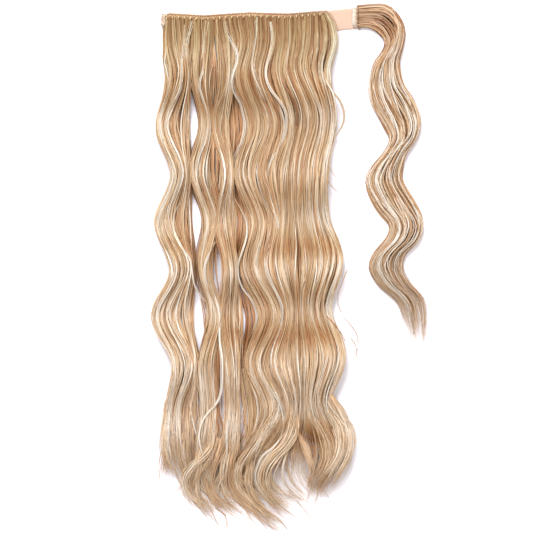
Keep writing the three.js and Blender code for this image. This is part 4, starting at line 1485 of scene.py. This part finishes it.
# The sewn edges: rolled cords of hair end, the back weft's above the front one's, then stitches.
sewnEdge = {
    "cordRadius": 1 * mm,
    "strands": 6,
    "pitch": 7 * mm,
    "knotSpacing": 5.9 * mm,
    "knotReach": 1.8 * mm,
    "loopSpacing": 2.3 * mm,
    "thread": 0.3 * mm,
}


def edgeStations(step):
    start = hairpiece["bindingCover"] + 0.5 * mm
    return np.arange(start, hairpiece["weftWidth"] + 1 * mm, step)


def edgePath(step, drop, level):
    x = edgeStations(step)
    y = edgeY(np.minimum(x / hairpiece["weftWidth"], 1)) - drop
    return {"points": np.stack([x, y, np.full_like(x, level)], 1)}


# A cord of even strands rolled round its path.
def rolled(name, path, **values):
    even = {"Evenness": 1.0, "Frizz": 0.0, "Raggedness": 0.0, "Side_Shade": 0.0}
    return grow(pathObject(name, [path]), strands, **even, **values)


def edgeCord(name, drop, level, tint, radius, seed):
    path = edgePath(1.2 * mm, drop, level)
    x = path["points"][:, 0]
    path |= {
        "spread": radius * (1 + 0.08 * np.sin(x / (9 * mm))),
        "thick": radius * 0.85,
        "turn": x / sewnEdge["pitch"] * 2 * np.pi,
        "tint": tint + 0.06 * np.sin(x / (11 * mm)),
        "depth": 0.14,
    }
    return rolled(
        name, path, Strands=sewnEdge["strands"], Strand_Width=radius * 1.3, Tint_Spread=0.1, Seed=seed,
        Material=frontHairFinish,
    )


def threadFinish(name, colour):
    material, tree, shader = newMaterial(name, 0.6)
    fibres = noise(tree, objectPlace(tree), 2400.0, 1.0)
    darker = tuple(0.7 * part for part in colour)
    tree.links.new(mixed(tree, fibres, (*darker, 1), (*colour, 1)), shader.inputs["Base Color"])
    return material


yellowThread = threadFinish("yellowish sewing thread", (0.8, 0.6, 0.3))
paleThread = threadFinish("pale binding thread", (0.74, 0.63, 0.5))
darkThread = threadFinish("dark seam thread", (0.12, 0.04, 0.025))


def sewRow(name, path, material, seed, **values):
    return grow(pathObject(name, [path]), stitches, Seed=seed, Material=material, **values)


# Cords of the sewn edges: (name, drop below the edge's line, level, tint, radius).
edgeCords = [
    ("back_cord", 1 * mm, 2.7 * mm, 0.3, sewnEdge["cordRadius"]),
    ("front_cord", 3.1 * mm, 5.1 * mm, 0.44, sewnEdge["cordRadius"] * 0.85),
    ("lower_cord", 4.9 * mm, 5.2 * mm, 0.1, sewnEdge["cordRadius"] * 0.75),
]
cords = joined("sewn_edges", [edgeCord(*row, 31 + number) for number, row in enumerate(edgeCords)])
finished(cords, "front_hair", "front_weft")
edgeThread = joined("edge_stitches", [
    sewRow(
        "knots", edgePath(3 * mm, 4.4 * mm, 7.6 * mm), yellowThread, 41,
        Spacing=sewnEdge["knotSpacing"], Reach=sewnEdge["knotReach"], Slant=0.2 * mm, Bow=0.5 * mm,
        Thread=0.5 * mm, Looseness=0.3,
    ),
    sewRow(
        "loops", edgePath(3 * mm, 1.9 * mm, 3.3 * mm), yellowThread, 42,
        Spacing=sewnEdge["loopSpacing"], Reach=4.4 * mm, Slant=0.5 * mm, Bow=1.4 * mm,
        Thread=0.13 * mm, Looseness=0.25,
    ),
])
finished(edgeThread, "binding_thread", "front_weft")

# The band's left end: cloth folded over the wefts' ends, crumpled and bound with pale thread.
binding = {"rings": 26, "around": 28, "crease": 0.35 * mm, "stitches": 1.7 * mm, "thread": 0.28 * mm}


def bindingFinish():
    material, tree, shader = newMaterial("crumpled binding cloth", 0.75)
    mapping = {"Vector": objectPlace(tree), "Scale": (1.0, 0.45, 1.0)}
    stretched = result(put(tree, "ShaderNodeMapping", mapping))
    creases = noise(tree, stretched, 700.0, 3.0)
    # The cloth is darker down in its creases: painted shade.
    paintedCreaseShade = ramp(tree, creases, 0.38, 0.62)
    colour = mixed(tree, paintedCreaseShade, (0.3, 0.16, 0.08, 1), (0.66, 0.5, 0.35, 1))
    tree.links.new(colour, shader.inputs["Base Color"])
    addBump(tree, shader, creases, 0.8, 0.4 * mm)
    return material


def bindingPiece():
    low, high = (np.array(corner) - np.array(origin) for corner in (bindingLow, bindingHigh))
    middle, half = (low + high) / 2, (high - low) / 2
    rings = []
    for share in np.linspace(-1, 1, binding["rings"]):
        end = 1 - 0.35 * abs(share) ** 8
        lean = 0.4 * mm * np.sin(3 * share)
        ring = []
        for angle in np.linspace(0, 2 * np.pi, binding["around"], endpoint=False):
            c, d = np.cos(angle), np.sin(angle)
            box = (abs(c) ** 5 + abs(d) ** 5) ** -0.2
            crumple = np.sin(9 * share + 3 * c) * np.sin(5 * share - 4 * c + 1)
            crease = binding["crease"] * crumple * max(d, 0)
            ring.append((
                middle[0] + lean + half[0] * c * box * end,
                middle[1] + half[1] * share,
                max(middle[2] + half[2] * d * box * end + crease, 0),
            ))
        rings.append(np.array(ring))
    cloth = meshPiece("left_binding", *skin(rings), bindingFinish())
    y = np.linspace(high[1] - 0.8 * mm, low[1] + 1 * mm, 12)
    rows = []
    for number, (place, slant) in enumerate(((0.35, 1), (0.75, -0.7))):
        x = np.full_like(y, low[0] + place * (high[0] - low[0]))
        path = {"points": np.stack([x, y, np.full_like(y, high[2] - 0.15 * mm)], 1)}
        rows.append(sewRow(
            f"binding_row_{number}", path, paleThread, 51 + number, Spacing=binding["stitches"],
            Reach=3 * mm, Slant=slant * mm, Bow=0.4 * mm, Thread=binding["thread"], Looseness=0.5,
        ))
    return joined("left_binding", [cloth, *rows])


finished(bindingPiece(), "binding_thread", "left_end_binding")

# The wrap's sewn edge: a pale braid across the band, with a dark seam on its hair side.
wrapEdge = {
    "cords": (-1.5, 0, 1.5),  # places of the braid's cords across the edge, in millimetres
    "cordRadius": 0.95 * mm,
    "pitch": 4.5 * mm,
    "seamAt": 3.4 * mm,
    "tuftFrom": 2.6 * mm,
    "tuftReach": 3 * mm,
}


def wrapEdgePiece():
    top = wrapStart[1] + hairpiece["bandHeight"] / 2
    y = np.arange(top, top - hairpiece["bandHeight"], -1 * mm)
    parts = []
    for number, place in enumerate(wrapEdge["cords"]):
        x = wrapStart[0] + place * mm + 0.3 * mm * np.sin(y / (4 * mm))
        path = {
            "points": np.stack([x, y, np.full_like(y, 3.1 * mm - 0.3 * mm * abs(place))], 1),
            "spread": wrapEdge["cordRadius"],
            "thick": wrapEdge["cordRadius"] * 0.8,
            "turn": y / wrapEdge["pitch"] * 2 * np.pi * (1 if number % 2 else -1),
            "tint": 0.84 - 0.08 * number,
            "depth": 0.14,
        }
        parts.append(rolled(
            f"braid_{number}", path, Strands=5, Strand_Width=1.3 * mm, Tint_Spread=0.15,
            Seed=61 + number, Material=wrapHairFinish,
        ))
    seamX = np.full_like(y, wrapStart[0] + wrapEdge["seamAt"])
    seam = {"points": np.stack([seamX, y + 0.2 * mm, np.full_like(y, 4.1 * mm)], 1)}
    parts.append(sewRow(
        "seam", seam, darkThread, 64, Spacing=1.7 * mm, Reach=0.3 * mm, Slant=0.75 * mm,
        Bow=0.15 * mm, Thread=0.3 * mm, Looseness=0.25,
    ))
    down = np.linspace(0, 1, 6)
    tuftX = wrapStart[0] + wrapEdge["tuftFrom"] + down * wrapEdge["tuftReach"]
    tuftY = y[-1] + 1 * mm - down * wrapEdge["tuftReach"]
    tuft = {
        "points": np.stack([tuftX, tuftY, 2.4 * mm - down * 1 * mm], 1),
        "spread": 0.4 * mm + 1.4 * mm * down,
        "thick": 0.5 * mm,
        "turn": 0,
        "tint": 0.5,
        "depth": 0.1,
    }
    parts.append(grow(
        pathObject("tuft", [tuft]), strands, Strands=16, Strand_Width=0.5 * mm, Frizz=0.5 * mm,
        Raggedness=0.5, Tint_Spread=0.5, Seed=65, Material=wrapHairFinish,
    ))
    return joined("wrap_sewn_edge", parts)


finished(wrapEdgePiece(), "wrap_hair", "wrap_weft")
